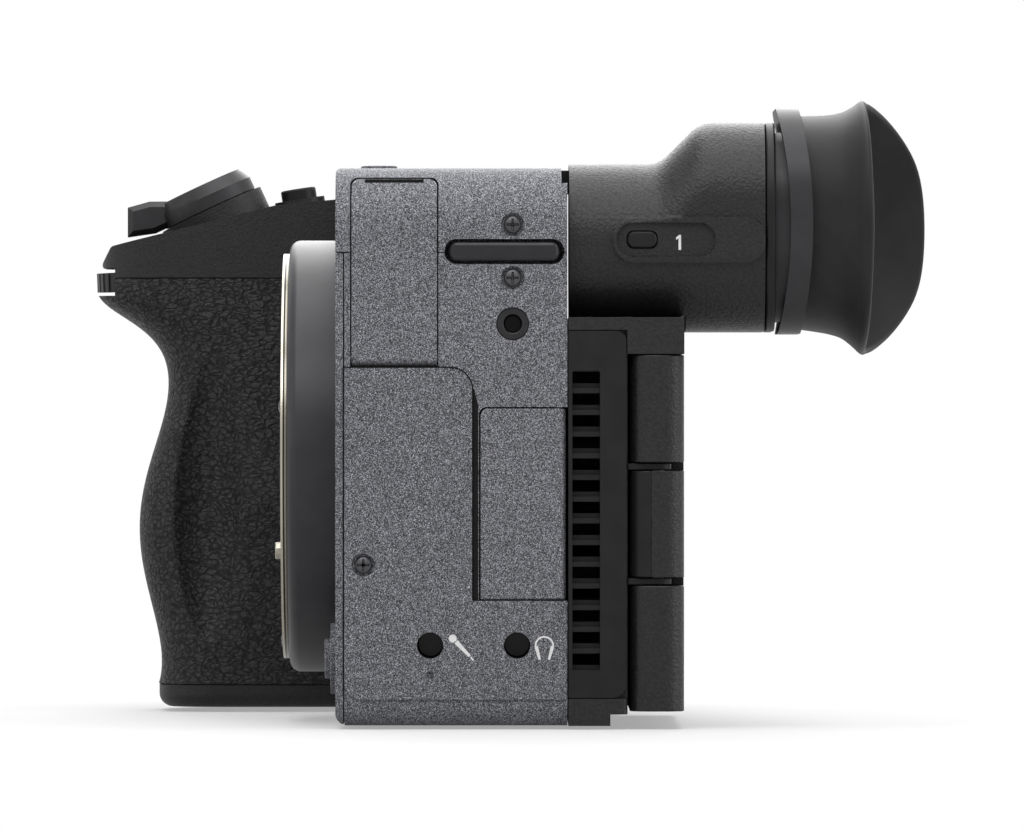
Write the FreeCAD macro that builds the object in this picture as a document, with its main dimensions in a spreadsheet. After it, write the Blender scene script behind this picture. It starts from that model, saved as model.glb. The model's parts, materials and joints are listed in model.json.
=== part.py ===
import FreeCAD, Part
import math
import os
import re

import Sketcher
from FreeCAD import Placement, Rotation, Vector

# Compact cinema camera. Origin: mouth of the tripod socket, under the lens axis.
# +Z is up, the lens looks along -Y, +X is the port side and -X the grip side.

SIZES = {
    # Body shell, measured from the lens axis and the base
    "port_x": 50.0,
    "left_x": -46.0,
    "front_y": -20.0,
    "back_y": 12.3,
    "body_top": 77.8,
    "wall": 1.6,
    "side_deep": 4.6,
    "front_lip": 1.1,
    "seam_z": 66.0,
    "seam": 0.15,
    "top_round": 8.0,
    "edge_round": 0.8,
    "base_round": 1.7,
    "sill_round": 3.4,
    # Lens mount and image sensor
    "lens_z": 37.4,
    "throat_radius": 27.0,
    "collar_wall": 3.9,
    "collar_deep": 7.2,
    "collar_round": 1.6,
    "ring_wall": 2.0,
    "ring_stand": 0.9,
    "flange_to_sensor": 20.0,
    "bayonet_lug": 2.0,
    "screw_ring": 0.2,
    "mount_screw_radius": 0.9,
    "box_wall": 1.2,
    "sensor_wide": 36.0,
    "sensor_high": 24.0,
    "sensor_rim": 3.0,
    "glass_thick": 0.8,
    "frame_thick": 3.0,
    "pin_radius": 1.2,
    "lock_inset": 0.43,
    "lock_angle": 30.0,
    "pin_travel": 0.8,
    "boss_radius": 5.0,
    "release_radius": 2.8,
    "release_z": 8.9,
    "release_stand": 0.85,
    "release_x": 26.0,
    # Port side panel, doors, sockets and screws, as places on the port face
    "panel_proud": 0.4,
    "panel_thick": 1.2,
    "panel_low": 3.67,
    "panel_high": 49.83,
    "panel_leg_y": -0.97,
    "panel_leg_z": 17.4,
    "panel_corner": 2.5,
    "panel_bend": 3.1,
    "door_gap": 0.2,
    "door_thick": 1.4,
    "hdmi_front": -17.75,
    "hdmi_back": -5.85,
    "hdmi_low": 50.1,
    "hdmi_high": 76.2,
    "usb_front": 0.2,
    "usb_back": 12.1,
    "usb_low": 17.6,
    "usb_high": 44.2,
    "door_corner": 1.1,
    "door_pin": 0.5,
    "door_barrel": 1.1,
    "pin_fit": 0.04,
    "bay_deep": 3.2,
    "bar_low": 64.7,
    "bar_high": 67.4,
    "bar_front": -4.4,
    "bar_back": 11.5,
    "bar_thick": 1.4,
    "bar_foot": 2.6,
    "bar_gap": 0.4,
    "jack_z": 11.2,
    "mic_y": -6.8,
    "phone_y": 5.3,
    "jack_bore": 1.85,
    "jack_rim": 2.7,
    "screw_y": 4.7,
    "screw_high": 69.8,
    "screw_low": 62.4,
    "screw_head": 1.22,
    "screw_recess": 1.65,
    "clamp_z": 56.0,
    "clamp_rim": 2.3,
    "clamp_bore": 1.28,
    "clamp_deep": 5.0,
    # Sockets with standard quarter inch threads, and the shoe
    "thread_bore": 2.6,
    "thread_deep": 6.0,
    "socket_rim": 4.6,
    "top_socket_y": -13.0,
    "top_socket_x": 33.0,
    "shoe_x": -8.0,
    "shoe_front": -5.4,
    "shoe_back": 12.2,
    "shoe_wide": 21.6,
    "shoe_slot": 18.6,
    "shoe_mouth": 12.7,
    "shoe_sink": 4.2,
    "shoe_floor": 1.0,
    "shoe_lip": 1.4,
    "shoe_proud": 0.4,
    # Rear cover, vent and fan
    "rear_y": 20.7,
    "rear_top": 56.9,
    "rear_wall": 1.3,
    "shelf_thick": 5.1,
    "foot_deep": 6.0,
    "vent_back": 20.5,
    "vent_low": 3.9,
    "vent_high": 55.0,
    "vent_thick": 1.6,
    "slot_front": 13.0,
    "slot_back": 16.85,
    "slot_low": 7.75,
    "slot_pitch": 3.02,
    "slot_rib": 0.7,
    "slot_count": 14,
    "baffle_deep": 3.0,
    "fan_x": 29.0,
    "fan_z": 29.0,
    "fan_radius": 12.5,
    "fan_thick": 4.0,
    "fan_hub": 4.6,
    "fan_blades": 11,
    "fan_shaft": 0.75,
    "fan_gap": 0.6,
    # Grip: each station has a height and how far forward it reaches
    "grip_in": -46.2,
    "grip_out": -78.9,
    "grip_foot_z": 3.6,
    "grip_foot_y": -47.7,
    "grip_heel_z": 18.0,
    "grip_heel_y": -49.4,
    "grip_palm_z": 31.0,
    "grip_palm_y": -50.2,
    "grip_waist_z": 49.0,
    "grip_waist_y": -46.3,
    "grip_flare_z": 56.5,
    "grip_flare_y": -51.0,
    "grip_lip_z": 60.9,
    "grip_lip_y": -56.6,
    "grip_top": 63.4,
    "grip_base": 0.2,
    "grip_nose": 8.0,
    "grip_shoulder": 13.0,
    "skin_thick": 1.0,
    "skin_back": -1.0,
    "valley_x": -41.6,
    "valley_y": -40.5,
    "valley_deep": 7.6,
    "valley_wide": 6.5,
    "valley_tall": 27.0,
    "deck_nose_y": -56.1,
    "deck_nose_z": 65.4,
    "deck_brow_y": -54.6,
    "deck_brow_z": 68.2,
    "deck_mid_y": -40.3,
    "deck_mid_z": 71.7,
    "deck_step_y": -30.3,
    "deck_step_z": 74.2,
    "deck_top": 75.2,
    "battery_wide": 20.8,
    "battery_long": 38.0,
    "battery_high": 56.0,
    "battery_x": -72.4,
    "battery_y": -40.0,
    "battery_z": 3.0,
    "bay_fit": 0.2,
    "hatch_thick": 1.6,
    "hatch_rim": 1.6,
    "card_front": 1.0,
    "card_back": 11.6,
    "card_low": 14.0,
    "card_high": 58.0,
    "card_deep": 6.0,
    # Dials, lever and buttons
    "dial_x": -62.0,
    "dial_y": -48.1,
    "dial_z": 63.2,
    "dial_lean": 2.0,
    "dial_radius": 9.0,
    "dial_thick": 2.8,
    "mouth_y": -54.0,
    "mouth_low": 60.9,
    "mouth_high": 65.0,
    "dial_pin": 1.5,
    "knurl_count": 36,
    "knurl_deep": 0.35,
    "slot_clear": 0.35,
    "lever_x": -62.0,
    "lever_y": -39.2,
    "lever_z": 71.9,
    "lever_lean": 25.0,
    "lever_radius": 7.2,
    "lever_crown": 6.2,
    "lever_low": 2.3,
    "lever_mid": 4.1,
    "lever_high": 5.9,
    "lever_nub_wide": 5.0,
    "lever_bore": 5.2,
    "plinth_radius": 8.0,
    "shutter_radius": 4.3,
    "shutter_stem": 1.6,
    "shutter_travel": 0.8,
    "rec_x": -60.0,
    "rec_y": -26.8,
    "rec_z": 74.3,
    "rec_lean": 9.0,
    "rec_radius": 2.6,
    "rec_rim": 3.7,
    "rec_stand": 2.6,
    "rec_rim_high": 1.0,
    "button_travel": 0.6,
    "button_fit": 0.12,
    "thumb_x": -64.0,
    "thumb_y": 3.4,
    "thumb_radius": 7.6,
    "thumb_high": 3.2,
    "wheel_x": -62.0,
    "wheel_z": 31.0,
    "wheel_radius": 12.0,
    "wheel_bore": 5.6,
    "wheel_stand": 1.8,
    "stick_x": -40.0,
    "stick_z": 51.0,
    "stick_radius": 3.2,
    "menu_x": -66.0,
    "menu_z": 50.5,
    "af_x": -51.0,
    "play_x": -62.0,
    "play_z": 12.0,
    "rear_button": 2.6,
    "rear_stand": 0.9,
    "switch_x": -62.0,
    "switch_y": -12.5,
    "switch_radius": 6.0,
    "switch_high": 2.4,
    "top_button_x": 5.0,
    "top_button_y": -14.4,
    "top_button_radius": 2.6,
    "top_button_stand": 1.1,
    # Viewfinder
    "evf_left": 7.0,
    "evf_right": 47.0,
    "evf_front": 12.6,
    "evf_back": 41.4,
    "evf_low": 55.0,
    "evf_belly": 57.2,
    "evf_step": 28.9,
    "evf_top": 78.5,
    "evf_rise_y": 25.2,
    "evf_hump_y": 31.0,
    "evf_round": 11.0,
    "evf_corner": 4.0,
    "evf_recess": 0.8,
    "evf_recess_low": 70.0,
    "hinge_y": 15.0,
    "hinge_z": 76.1,
    "hinge_pin": 0.8,
    "lug_wide": 4.0,
    "lug_radius": 1.5,
    "lug_in": 10.0,
    "lug_slot": 0.3,
    "boss_front": 18.7,
    "boss_back": 40.0,
    "boss_low": 64.5,
    "boss_high_z": 70.9,
    "boss_proud": 0.8,
    "boss_flat": 0.8,
    "boss_recess_front": 19.2,
    "boss_recess_back": 33.0,
    "key_front": 20.7,
    "key_back": 24.8,
    "key_low": 66.6,
    "key_high": 68.9,
    "key_proud": 0.4,
    "bore_x": 27.0,
    "bore_z": 69.8,
    "hump_rise": 14.5,
    "bore_radius": 11.0,
    "lens_thick": 3.0,
    "rim_thick": 5.1,
    "rim_half": 20.5,
    "rim_round": 12.0,
    "cup_back": 54.3,
    "cup_flap": 9.7,
    "cup_half": 18.6,
    "cup_wall": 1.6,
    # Monitor and its swing hinge
    "screen_left": -28.0,
    "screen_front": 21.0,
    "screen_back": 28.6,
    "screen_low": 2.0,
    "screen_high": 51.65,
    "screen_round": 2.6,
    "screen_bezel": 1.6,
    "glass_inset": 4.0,
    "swing_x": 47.0,
    "swing_y": 24.8,
    "swing_pin": 1.0,
    "notch_low": 19.5,
    "notch_high": 36.7,
    "notch_left": 42.6,
    "hinge_seam": 24.0,
    "bracket_thick": 0.9,
    # Small recesses, fits and stands
    "jack_long": 10.0,
    "panel_screw_y": -16.1,
    "panel_screw_z": 22.4,
    "screw_sunk": 0.8,
    "clamp_inset": 0.2,
    "top_socket_pitch": 17.0,
    "port_wide": 2.6,
    "port_high": 2.8,
    "port_small": 8.4,
    "port_wall": 0.5,
    "port_stand": 2.0,
    "port_deep": 6.0,
    "lock_room": 4.0,
    "dimple_drop": 4.1,
    "dimple_radius": 0.5,
    "pin_end": 0.7,
    "recess_side": 0.5,
    "button_room": 2.4,
    "bar_proud": 0.2,
    "notch_deep": 0.6,
    "notch_inset": 1.8,
    "notch_tall": 1.0,
    "ring_sink": 1.0,
    "gate_deep": 1.3,
    "gate_wide": 10.0,
    "contact_rise": 2.1,
    "contact_wide": 18.0,
    "contact_thick": 2.0,
    "contact_long": 5.5,
    "boss_high": 1.0,
    "rear_corner": 3.0,
    "fan_side": 1.5,
    "slot_top": 49.5,
    "rib_sunk": 0.5,
    "mouth_corner": 0.5,
    "wheel_sunk": 1.2,
    "wheel_fit": 0.05,
    "wheel_key": 4.2,
    "stick_neck": 1.4,
    "stick_swing": 0.7,
    "stick_deep": 3.2,
    "stick_lift": 1.2,
    "lug_half": 2.0,
    "vent_foot_round": 1.9,
    "vent_top_round": 1.4,
    "blade_thick": 0.6,
    "fan_float": 0.3,
    "pin_reach": 2.5,
    "foot_inset": 0.1,
    "foot_round": 2.0,
    "deck_tuck": 1.2,
    "neck_high": 1.0,
    "lug_deep": 3.5,
    "bore_deep": 14.0,
    "end_thick": 1.3,
    "rim_bend": 74.3,
    "rim_bulge": 1.6,
    "rim_plate": 3.1,
    "rim_low": 15.1,
    "rim_high": 16.5,
    "rim_inset": 1.4,
    "cup_neck_y": 45.0,
    "cup_waist_y": 49.5,
    "cup_far_y": 65.0,
    "cup_neck_wide": 18.8,
    "cup_neck_high": 15.2,
    "cup_rim_wide": 21.4,
    "cup_rim_high": 17.85,
    "cup_far_wide": 24.0,
    "cup_far_high": 20.5,
    "cup_corner": 11.0,
    "cup_lip": 1.0,
    "cup_clear": 0.05,
    "bezel_deep": 1.2,
    "nub_front": -52.5,
    "nub_crest": -49.3,
    "nub_heel": -48.4,
    "nub_root": -46.0,
    "nub_low": 69.7,
    "nub_rise": 0.6,
    "nub_root_low": 71.4,
    "nub_high": 75.0,
    "nub_drop": 0.9,
    "nub_edge": 0.8,
    "stick_float": 0.4,
    "display_y": -11.8,
    "display_z": 58.0,
    "small_port_y": 6.2,
    "video_z": 38.0,
    "data_z": 27.0,
}

doc = FreeCAD.newDocument("cinema_camera")
sheet = doc.addObject("Spreadsheet::Sheet", "sizes")
NODES = []


def fill_sheet(table):
    for row, (alias, value) in enumerate(table.items(), 1):
        sheet.set(f"A{row}", alias)
        sheet.set(f"B{row}", str(value))
        sheet.setAlias(f"B{row}", alias)


def formula(text):
    """Sheet formula from plain words: each size name gets the sheet's name before it."""
    return re.sub(r"[a-z]\w*", lambda word: named(word.group()), str(text))


def named(word):
    return f"sizes.{word}" if word in SIZES else word


def tie(thing, prop, text):
    thing.setExpression(prop, formula(text))


def size(alias):
    return float(sheet.get(alias))


def node(thing, label=None):
    """Mark a finished piece, whose label names its file."""
    if label:
        thing.Label = label
    NODES.append(thing)
    return thing


def block(label, x, y, z):
    """Box between pairs of planes."""
    box = doc.addObject("Part::Box", label)
    for prop, axis, (low, high) in (("Length", "x", x), ("Width", "y", y), ("Height", "z", z)):
        tie(box, prop, f"({high}) - ({low})")
        tie(box, f"Placement.Base.{axis}", low)
    return box


TURNS = {
    "x": Rotation(Vector(0, 1, 0), 90),
    "y": Rotation(Vector(1, 0, 0), -90),
    "z": Rotation(),
}


def rod(label, axis, centre, radius, low, high):
    """Cylinder along an axis from low to high; centre gives the other two places in order."""
    pin = doc.addObject("Part::Cylinder", label)
    pin.Placement = Placement(Vector(), TURNS[axis])
    tie(pin, "Radius", radius)
    tie(pin, "Height", f"({high}) - ({low})")
    others = [name for name in "xyz" if name != axis]
    tie(pin, f"Placement.Base.{axis}", low)
    for name, place in zip(others, centre):
        tie(pin, f"Placement.Base.{name}", place)
    return pin


def leaning_rod(label, centre, lean, radius, low, high):
    """Cylinder about an axis that leans forward from +Z, from low to high along that axis."""
    pin = doc.addObject("Part::Cylinder", label)
    pin.Placement = Placement(Vector(), Rotation(Vector(1, 0, 0), 1))
    tie(pin, "Radius", radius)
    tie(pin, "Height", f"({high}) - ({low})")
    tie(pin, "Placement.Rotation.Angle", lean)
    tie(pin, "Placement.Base.x", centre[0])
    tie(pin, "Placement.Base.y", f"({centre[1]}) - sin({lean}) * ({low})")
    tie(pin, "Placement.Base.z", f"({centre[2]}) + cos({lean}) * ({low})")
    return pin


def leaning_cone(label, centre, lean, low_radius, high_radius, low, high):
    """Round bevel about the same kind of leaning axis."""
    cone = doc.addObject("Part::Cone", label)
    cone.Placement = Placement(Vector(), Rotation(Vector(1, 0, 0), 1))
    tie(cone, "Radius1", low_radius)
    tie(cone, "Radius2", high_radius)
    tie(cone, "Height", f"({high}) - ({low})")
    tie(cone, "Placement.Rotation.Angle", lean)
    tie(cone, "Placement.Base.x", centre[0])
    tie(cone, "Placement.Base.y", f"({centre[1]}) - sin({lean}) * ({low})")
    tie(cone, "Placement.Base.z", f"({centre[2]}) + cos({lean}) * ({low})")
    return cone


def fuse(label, *pieces):
    whole = doc.addObject("Part::MultiFuse", label)
    whole.Shapes = list(pieces)
    return whole


def cut(label, base, *tools):
    result = doc.addObject("Part::Cut", label)
    result.Base = base
    result.Tool = tools[0] if len(tools) == 1 else fuse(label + "_cutters", *tools)
    return result


def common(label, first, second):
    result = doc.addObject("Part::Common", label)
    result.Base = first
    result.Tool = second
    return result


def group(label, *pieces):
    """Separate solids that share one node."""
    whole = doc.addObject("Part::Compound", label)
    whole.Links = list(pieces)
    return whole


def plane_of(body, role):
    for feature in body.Origin.OriginFeatures:
        if feature.Role == role:
            return feature
    raise LookupError(role)


def outline(body, name, role, offset, corners):
    """Closed sketch of straight sides, each corner held by a formula across and a formula up."""
    sketch = body.newObject("Sketcher::SketchObject", name)
    sketch.AttachmentSupport = (plane_of(body, role), [""])
    sketch.MapMode = "FlatFace"
    tie(sketch, "AttachmentOffset.Base.z", offset)
    spread = [Vector(math.cos(k * math.tau / len(corners)), math.sin(k * math.tau / len(corners)), 0)
              for k in range(len(corners))]
    for k, point in enumerate(spread):
        sketch.addGeometry(Part.LineSegment(point, spread[(k + 1) % len(spread)]), False)
    for k in range(len(corners)):
        sketch.addConstraint(Sketcher.Constraint("Coincident", k, 2, (k + 1) % len(corners), 1))
    for k, corner in enumerate(corners):
        for kind, place in (("DistanceX", corner[0]), ("DistanceY", corner[1])):
            number = sketch.addConstraint(Sketcher.Constraint(kind, -1, 1, k, 1, 1.0))
            tie(sketch, f"Constraints[{number}]", place)
    return sketch


def soften(body, tip, name, radius, wanted, kind="Fillet"):
    """Round or bevel the edges of the body's tip that the test picks."""
    doc.recompute()
    edges = [f"Edge{k}" for k, edge in enumerate(tip.Shape.Edges, 1) if wanted(edge)]
    if not edges:
        raise ValueError(f"no edge found for {name}")
    feature = body.newObject(f"PartDesign::{kind}", name)
    feature.Base = (tip, edges)
    tie(feature, "Radius" if kind == "Fillet" else "Size", radius)
    body.Tip = feature
    return feature


def pad(label, role, low, high, corners):
    """Body padded between two planes; a corner's third item is the radius of its edge."""
    body = doc.addObject("PartDesign::Body", label)
    offset = f"-({high})" if role == "XZ_Plane" else low
    sketch = outline(body, label + "_outline", role, offset, corners)
    feature = body.newObject("PartDesign::Pad", label + "_pad")
    feature.Profile = sketch
    tie(feature, "Length", f"({high}) - ({low})")
    body.Tip = feature
    doc.recompute()
    normal = sketch.Placement.Rotation.multVec(Vector(0, 0, 1))
    rounds = {}
    for k, corner in enumerate(corners):
        if len(corner) > 2:
            point = sketch.Placement.multVec(sketch.Geometry[k].StartPoint)
            rounds.setdefault(corner[2], []).append(point)
    for number, (radius, points) in enumerate(rounds.items()):
        def along(edge, points=points):
            ends = [vertex.Point for vertex in edge.Vertexes]
            return len(ends) == 2 and any(
                all((end - point).cross(normal).Length < 1e-4 for end in ends) for point in points)
        feature = soften(body, body.Tip, f"{label}_round_{number}", radius, along)
    return body


def pocket(body, name, role, low, high, corners):
    """Hole through the body between two planes."""
    offset = f"-({high})" if role == "XZ_Plane" else low
    doc.recompute()
    before = body.Tip.Shape.Volume
    sketch = outline(body, name + "_outline", role, offset, corners)
    feature = body.newObject("PartDesign::Pocket", name)
    feature.Profile = sketch
    feature.Reversed = True
    tie(feature, "Length", f"({high}) - ({low})")
    body.Tip = feature
    doc.recompute()
    if feature.Shape.Volume > before - 1e-6:
        raise ValueError(f"{name} cuts nothing")
    return feature


def turned(label, corners, centre, turn):
    """Body turned about its own axis: corners are radius and place along the axis."""
    body = doc.addObject("PartDesign::Body", label)
    sketch = outline(body, label + "_profile", "XY_Plane", "0", corners)
    feature = body.newObject("PartDesign::Revolution", label + "_turn")
    feature.Profile = sketch
    feature.ReferenceAxis = (sketch, ["V_Axis"])
    feature.Angle = 360
    body.Tip = feature
    body.Placement = Placement(Vector(), turn)
    for axis, place in zip("xyz", centre):
        tie(body, f"Placement.Base.{axis}", place)
    return body


fill_sheet(SIZES)

# Places that several pieces share
FLANGE = "front_y - collar_deep - ring_stand"
SENSOR = f"{FLANGE} + flange_to_sensor"
CHASSIS_PORT = "port_x - side_deep - seam"
CHASSIS_BACK = "back_y - seam"
BAY_FLOOR = "port_x - bay_deep"
PANEL_SEAT = "port_x + panel_proud - panel_thick"
DOOR_AXIS_X = "port_x - door_barrel"
HDMI_AXIS_Z = "hdmi_low + door_barrel"
USB_AXIS_Y = "usb_back - door_barrel"
REAR_FRONT = "back_y + seam"
COLLAR_OUT = "(throat_radius + collar_wall)"
RING_OUT = "(throat_radius + ring_wall)"
BAYONET_BORE = "(throat_radius - bayonet_lug)"
SCREW_CIRCLE = "(throat_radius + screw_ring)"
LOCK_X = "((throat_radius - lock_inset) * cos(lock_angle))"
LOCK_Z = "(lens_z - (throat_radius - lock_inset) * sin(lock_angle))"
HUMP_TOP = "(bore_z + hump_rise)"
GATE_TURNS = (60, 180, 300)
SCREW_TURNS = (15, 105, 195, 285)

# Outer form of the silver body, rounded along the port top edge
side_form = pad("side_form", "YZ_Plane", "left_x", "port_x", [
    ("front_y", "0", "base_round"), ("back_y", "0"),
    ("back_y", "body_top", "edge_round"), ("front_y", "body_top", "edge_round")])
end_form = pad("end_form", "XZ_Plane", "front_y", "back_y", [
    ("left_x", "0"), ("port_x", "0", "sill_round"),
    ("port_x", "body_top", "top_round"), ("left_x", "body_top")])
shell_form = common("shell_form", side_form, end_form)
inner_form = pad("inner_form", "XZ_Plane", "front_y", "back_y", [
    ("left_x", "-wall"), ("port_x - door_thick", "-wall"),
    ("port_x - door_thick", "body_top - door_thick", "top_round - door_thick"),
    ("left_x", "body_top - door_thick")])


def door_form(label, gap, back_gap, side):
    """Outline of a side door, or of its opening when the gap is more than nothing."""
    return pad(label, "YZ_Plane", "port_x - side_deep - wall", "port_x + wall", [
        (f"{side}_front - {gap}", f"{side}_low - {gap}"),
        (f"{side}_back + {back_gap}", f"{side}_low - {gap}"),
        (f"{side}_back + {back_gap}", f"{side}_high + {gap}", "door_corner"),
        (f"{side}_front - {gap}", f"{side}_high + {gap}", "door_corner")])


# Sockets, jacks and screws on the port side, as rods that also cut their seats
def port_rod(label, y, z, radius, low, high):
    return rod(label, "x", (y, z), radius, low, high)


JACKS = {"mic": "mic_y", "phone": "phone_y"}
SCREWS = {
    "upper": ("screw_y", "screw_high", "port_x"),
    "lower": ("screw_y", "screw_low", "port_x"),
    "panel": ("panel_screw_y", "panel_screw_z", "port_x + panel_proud"),
}
jack_rods = {}
jack_bores = {}
for name, place in JACKS.items():
    deep = "port_x - side_deep - jack_long"
    jack_rods[name] = port_rod(f"{name}_body", place, "jack_z", "jack_rim", deep, PANEL_SEAT)
    jack_bores[name] = port_rod(f"{name}_bore", place, "jack_z", "jack_bore",
                                f"{deep} + wall", "port_x + wall")
audio_jacks = node(group("audio_jacks", *[
    cut(f"{name}_jack", jack_rods[name], jack_bores[name]) for name in JACKS]))

screws = []
screw_seats = []
for name, (y, z, face) in SCREWS.items():
    screws.append(port_rod(f"{name}_screw", y, z, "screw_head",
                           f"{face} - screw_sunk", f"{face} - seam"))
    screw_seats.append(port_rod(f"{name}_seat", y, z, "screw_recess",
                                f"{face} - screw_sunk", "port_x + wall"))

clamp_body = port_rod("clamp_body", "screw_y", "clamp_z", "clamp_rim",
                      f"{BAY_FLOOR} - clamp_deep", "port_x - clamp_inset")
clamp_hole = port_rod("clamp_hole", "screw_y", "clamp_z", "clamp_bore",
                      f"{BAY_FLOOR} - clamp_deep + seam", "port_x + wall")
clamp_room = port_rod("clamp_room", "screw_y", "clamp_z", "clamp_rim",
                      "port_x - side_deep - wall", "port_x + wall")
node(cut("clamp_socket", clamp_body, clamp_hole))

# Quarter inch sockets: one under the body and three in the top
tripod_body = rod("tripod_body", "z", ("0", "0"), "socket_rim", "0", "thread_deep + wall")
tripod_hole = rod("tripod_hole", "z", ("0", "0"), "thread_bore", "-wall", "thread_deep")
tripod_piece = cut("tripod_piece", tripod_body, tripod_hole)

TOP_SOCKETS = {
    "port": ("top_socket_x", "top_socket_y"),
    "grip": ("-top_socket_x", "top_socket_y"),
    "rear": ("-top_socket_x", "top_socket_y + top_socket_pitch"),
}
top_bodies = {}
top_pieces = []
for name, place in TOP_SOCKETS.items():
    top_bodies[name] = rod(f"{name}_socket_body", "z", place, "socket_rim", "seam_z", "body_top")
    hole = rod(f"{name}_socket_hole", "z", place, "thread_bore",
               "body_top - thread_deep", "body_top + wall")
    top_pieces.append(cut(f"{name}_socket", top_bodies[name], hole))
node(group("thread_sockets", tripod_piece, *top_pieces))

# Inner frame with the lens throat and room behind the sockets
throat = rod("throat", "y", ("0", "lens_z"), "throat_radius", "front_y", f"{SENSOR} + frame_thick")
chassis_block = block("chassis_block", ("left_x + seam", CHASSIS_PORT),
                      ("front_y + front_lip + seam", CHASSIS_BACK), ("wall + seam", "seam_z - seam"))
PORTS = {
    "display": ("display_y", "display_z", "port_wide", "port_high"),
    "video": ("small_port_y", "video_z", "port_high", "port_small"),
    "data": ("small_port_y", "data_z", "port_high", "port_small"),
}
port_shells = []
port_cavities = []
for name, (y, z, wide, high) in PORTS.items():
    shell = block(f"{name}_shell", (CHASSIS_PORT, f"{CHASSIS_PORT} + port_stand"),
                  (f"{y} - {wide} / 2 - port_wall", f"{y} + {wide} / 2 + port_wall"),
                  (f"{z} - {high} / 2 - port_wall", f"{z} + {high} / 2 + port_wall"))
    cavity = block(f"{name}_cavity", (f"{CHASSIS_PORT} - port_deep", f"{CHASSIS_PORT} + side_deep"),
                   (f"{y} - {wide} / 2", f"{y} + {wide} / 2"),
                   (f"{z} - {high} / 2", f"{z} + {high} / 2"))
    port_cavities.append(cavity)
    port_shells.append(cut(f"{name}_port", shell, cavity))
node(group("data_ports", *port_shells))

lock_hole = rod("lock_hole", "y", (LOCK_X, LOCK_Z), "pin_radius + pin_fit",
                "front_y", "front_y + pin_travel + lock_room")
release_hole = rod("release_hole", "y", ("release_x", "release_z"), "release_radius + button_fit",
                   "front_y - wall", "front_y + pin_travel + lock_room")
node(cut("chassis", chassis_block, throat, clamp_body, tripod_body, lock_hole, release_hole,
         *jack_rods.values(), *port_cavities))

# Silver covers
front_slab = block("front_slab", ("left_x", "port_x"), ("front_y", "front_y + front_lip"),
                   ("0", "seam_z - seam"))
front_plate = common("front_plate", shell_form, front_slab)
boss_rod = rod("release_boss", "y", ("release_x", "release_z"), "boss_radius",
               "front_y - boss_high", "front_y + front_lip")
node(cut("front_cover", fuse("front_bossed", front_plate, boss_rod), throat, release_hole, lock_hole))

side_slab = block("side_slab", ("port_x - side_deep", "port_x"),
                  ("front_y + front_lip + seam", "back_y"), ("0", "seam_z - seam"))
hdmi_opening = door_form("hdmi_opening", "door_gap", "door_gap", "hdmi")
usb_opening = door_form("usb_opening", "door_gap", "wall", "usb")


def bar_form(label, gap, low, high):
    """Outline of the strap bar, or of its slot when the gap is more than nothing."""
    return pad(label, "YZ_Plane", low, high, [
        (y, z, f"(bar_high - bar_low) / 2 + {gap} - seam / 2") for y, z in (
            (f"bar_front - {gap}", f"bar_low - {gap}"), (f"bar_back + {gap}", f"bar_low - {gap}"),
            (f"bar_back + {gap}", f"bar_high + {gap}"), (f"bar_front - {gap}", f"bar_high + {gap}"))])


strap_slot = bar_form("strap_slot", "bar_gap", BAY_FLOOR, "port_x + wall")
PANEL_CORNERS = [
    ("front_y + front_lip + seam", "panel_low", "panel_corner"),
    ("back_y - seam", "panel_low", "edge_round"),
    ("back_y - seam", "panel_leg_z"),
    ("panel_leg_y", "panel_leg_z"),
    ("panel_leg_y", "panel_high", "panel_bend"),
    ("front_y + front_lip + seam", "panel_high")]
panel_blank = pad("panel_blank", "YZ_Plane", PANEL_SEAT, "port_x + panel_proud", PANEL_CORNERS)
panel_seat = pad("panel_seat", "YZ_Plane", PANEL_SEAT, "port_x + wall", PANEL_CORNERS)
mic_mark = port_rod("mic_mark", "mic_y", "jack_z - dimple_drop", "dimple_radius",
                    "port_x", "port_x + wall")
hdmi_pin = rod("hdmi_pin", "y", (DOOR_AXIS_X, HDMI_AXIS_Z), "door_pin",
               "hdmi_front - pin_end", "hdmi_back + pin_end")
usb_pin = rod("usb_pin", "z", (DOOR_AXIS_X, USB_AXIS_Y), "door_pin",
              "usb_low - pin_end", "usb_high + pin_end")
node(cut("side_panel", panel_blank, mic_mark, usb_pin, screw_seats[2], *jack_bores.values()))

side_plate = common("side_plate", shell_form, side_slab)
node(cut("side_cover", side_plate, hdmi_opening, usb_opening, strap_slot, panel_seat,
         screw_seats[1], clamp_room, hdmi_pin, usb_pin, *jack_rods.values()))

top_slab = block("top_slab", ("left_x", "port_x"), ("front_y", "back_y"), ("seam_z", "body_top"))
shoe_seat = block("shoe_seat", ("shoe_x - shoe_wide / 2", "shoe_x + shoe_wide / 2"),
                  ("shoe_front", "back_y + wall"), ("body_top - shoe_sink", "body_top + wall"))
evf_recess = block("evf_room", ("evf_left - recess_side", "evf_right + recess_side"),
                   ("back_y - evf_recess", "back_y + wall"), ("evf_recess_low", "body_top + wall"))
top_button_hole = rod("top_button_hole", "z", ("top_button_x", "top_button_y"),
                      "top_button_radius + button_fit", "body_top - button_room", "body_top + wall")
EVF_LUGS = {"near": "evf_right - lug_in - lug_wide", "far": "evf_left + lug_in"}
evf_lugs = {}
for name, low in EVF_LUGS.items():
    span = (low, f"{low} + lug_wide")
    root = block(f"{name}_lug_root", span, ("back_y - evf_recess - lug_deep", "hinge_y"),
                 ("hinge_z - lug_radius", "hinge_z + lug_radius"))
    eye = rod(f"{name}_lug_eye", "x", ("hinge_y", "hinge_z"), "lug_radius", *span)
    evf_lugs[name] = fuse(f"{name}_lug", root, eye)
top_plate = common("top_plate", shell_form, top_slab)
node(cut("top_cover", top_plate, hdmi_opening, strap_slot, shoe_seat, evf_recess, screw_seats[0],
         top_button_hole, *evf_lugs.values(), *top_bodies.values()))

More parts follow.
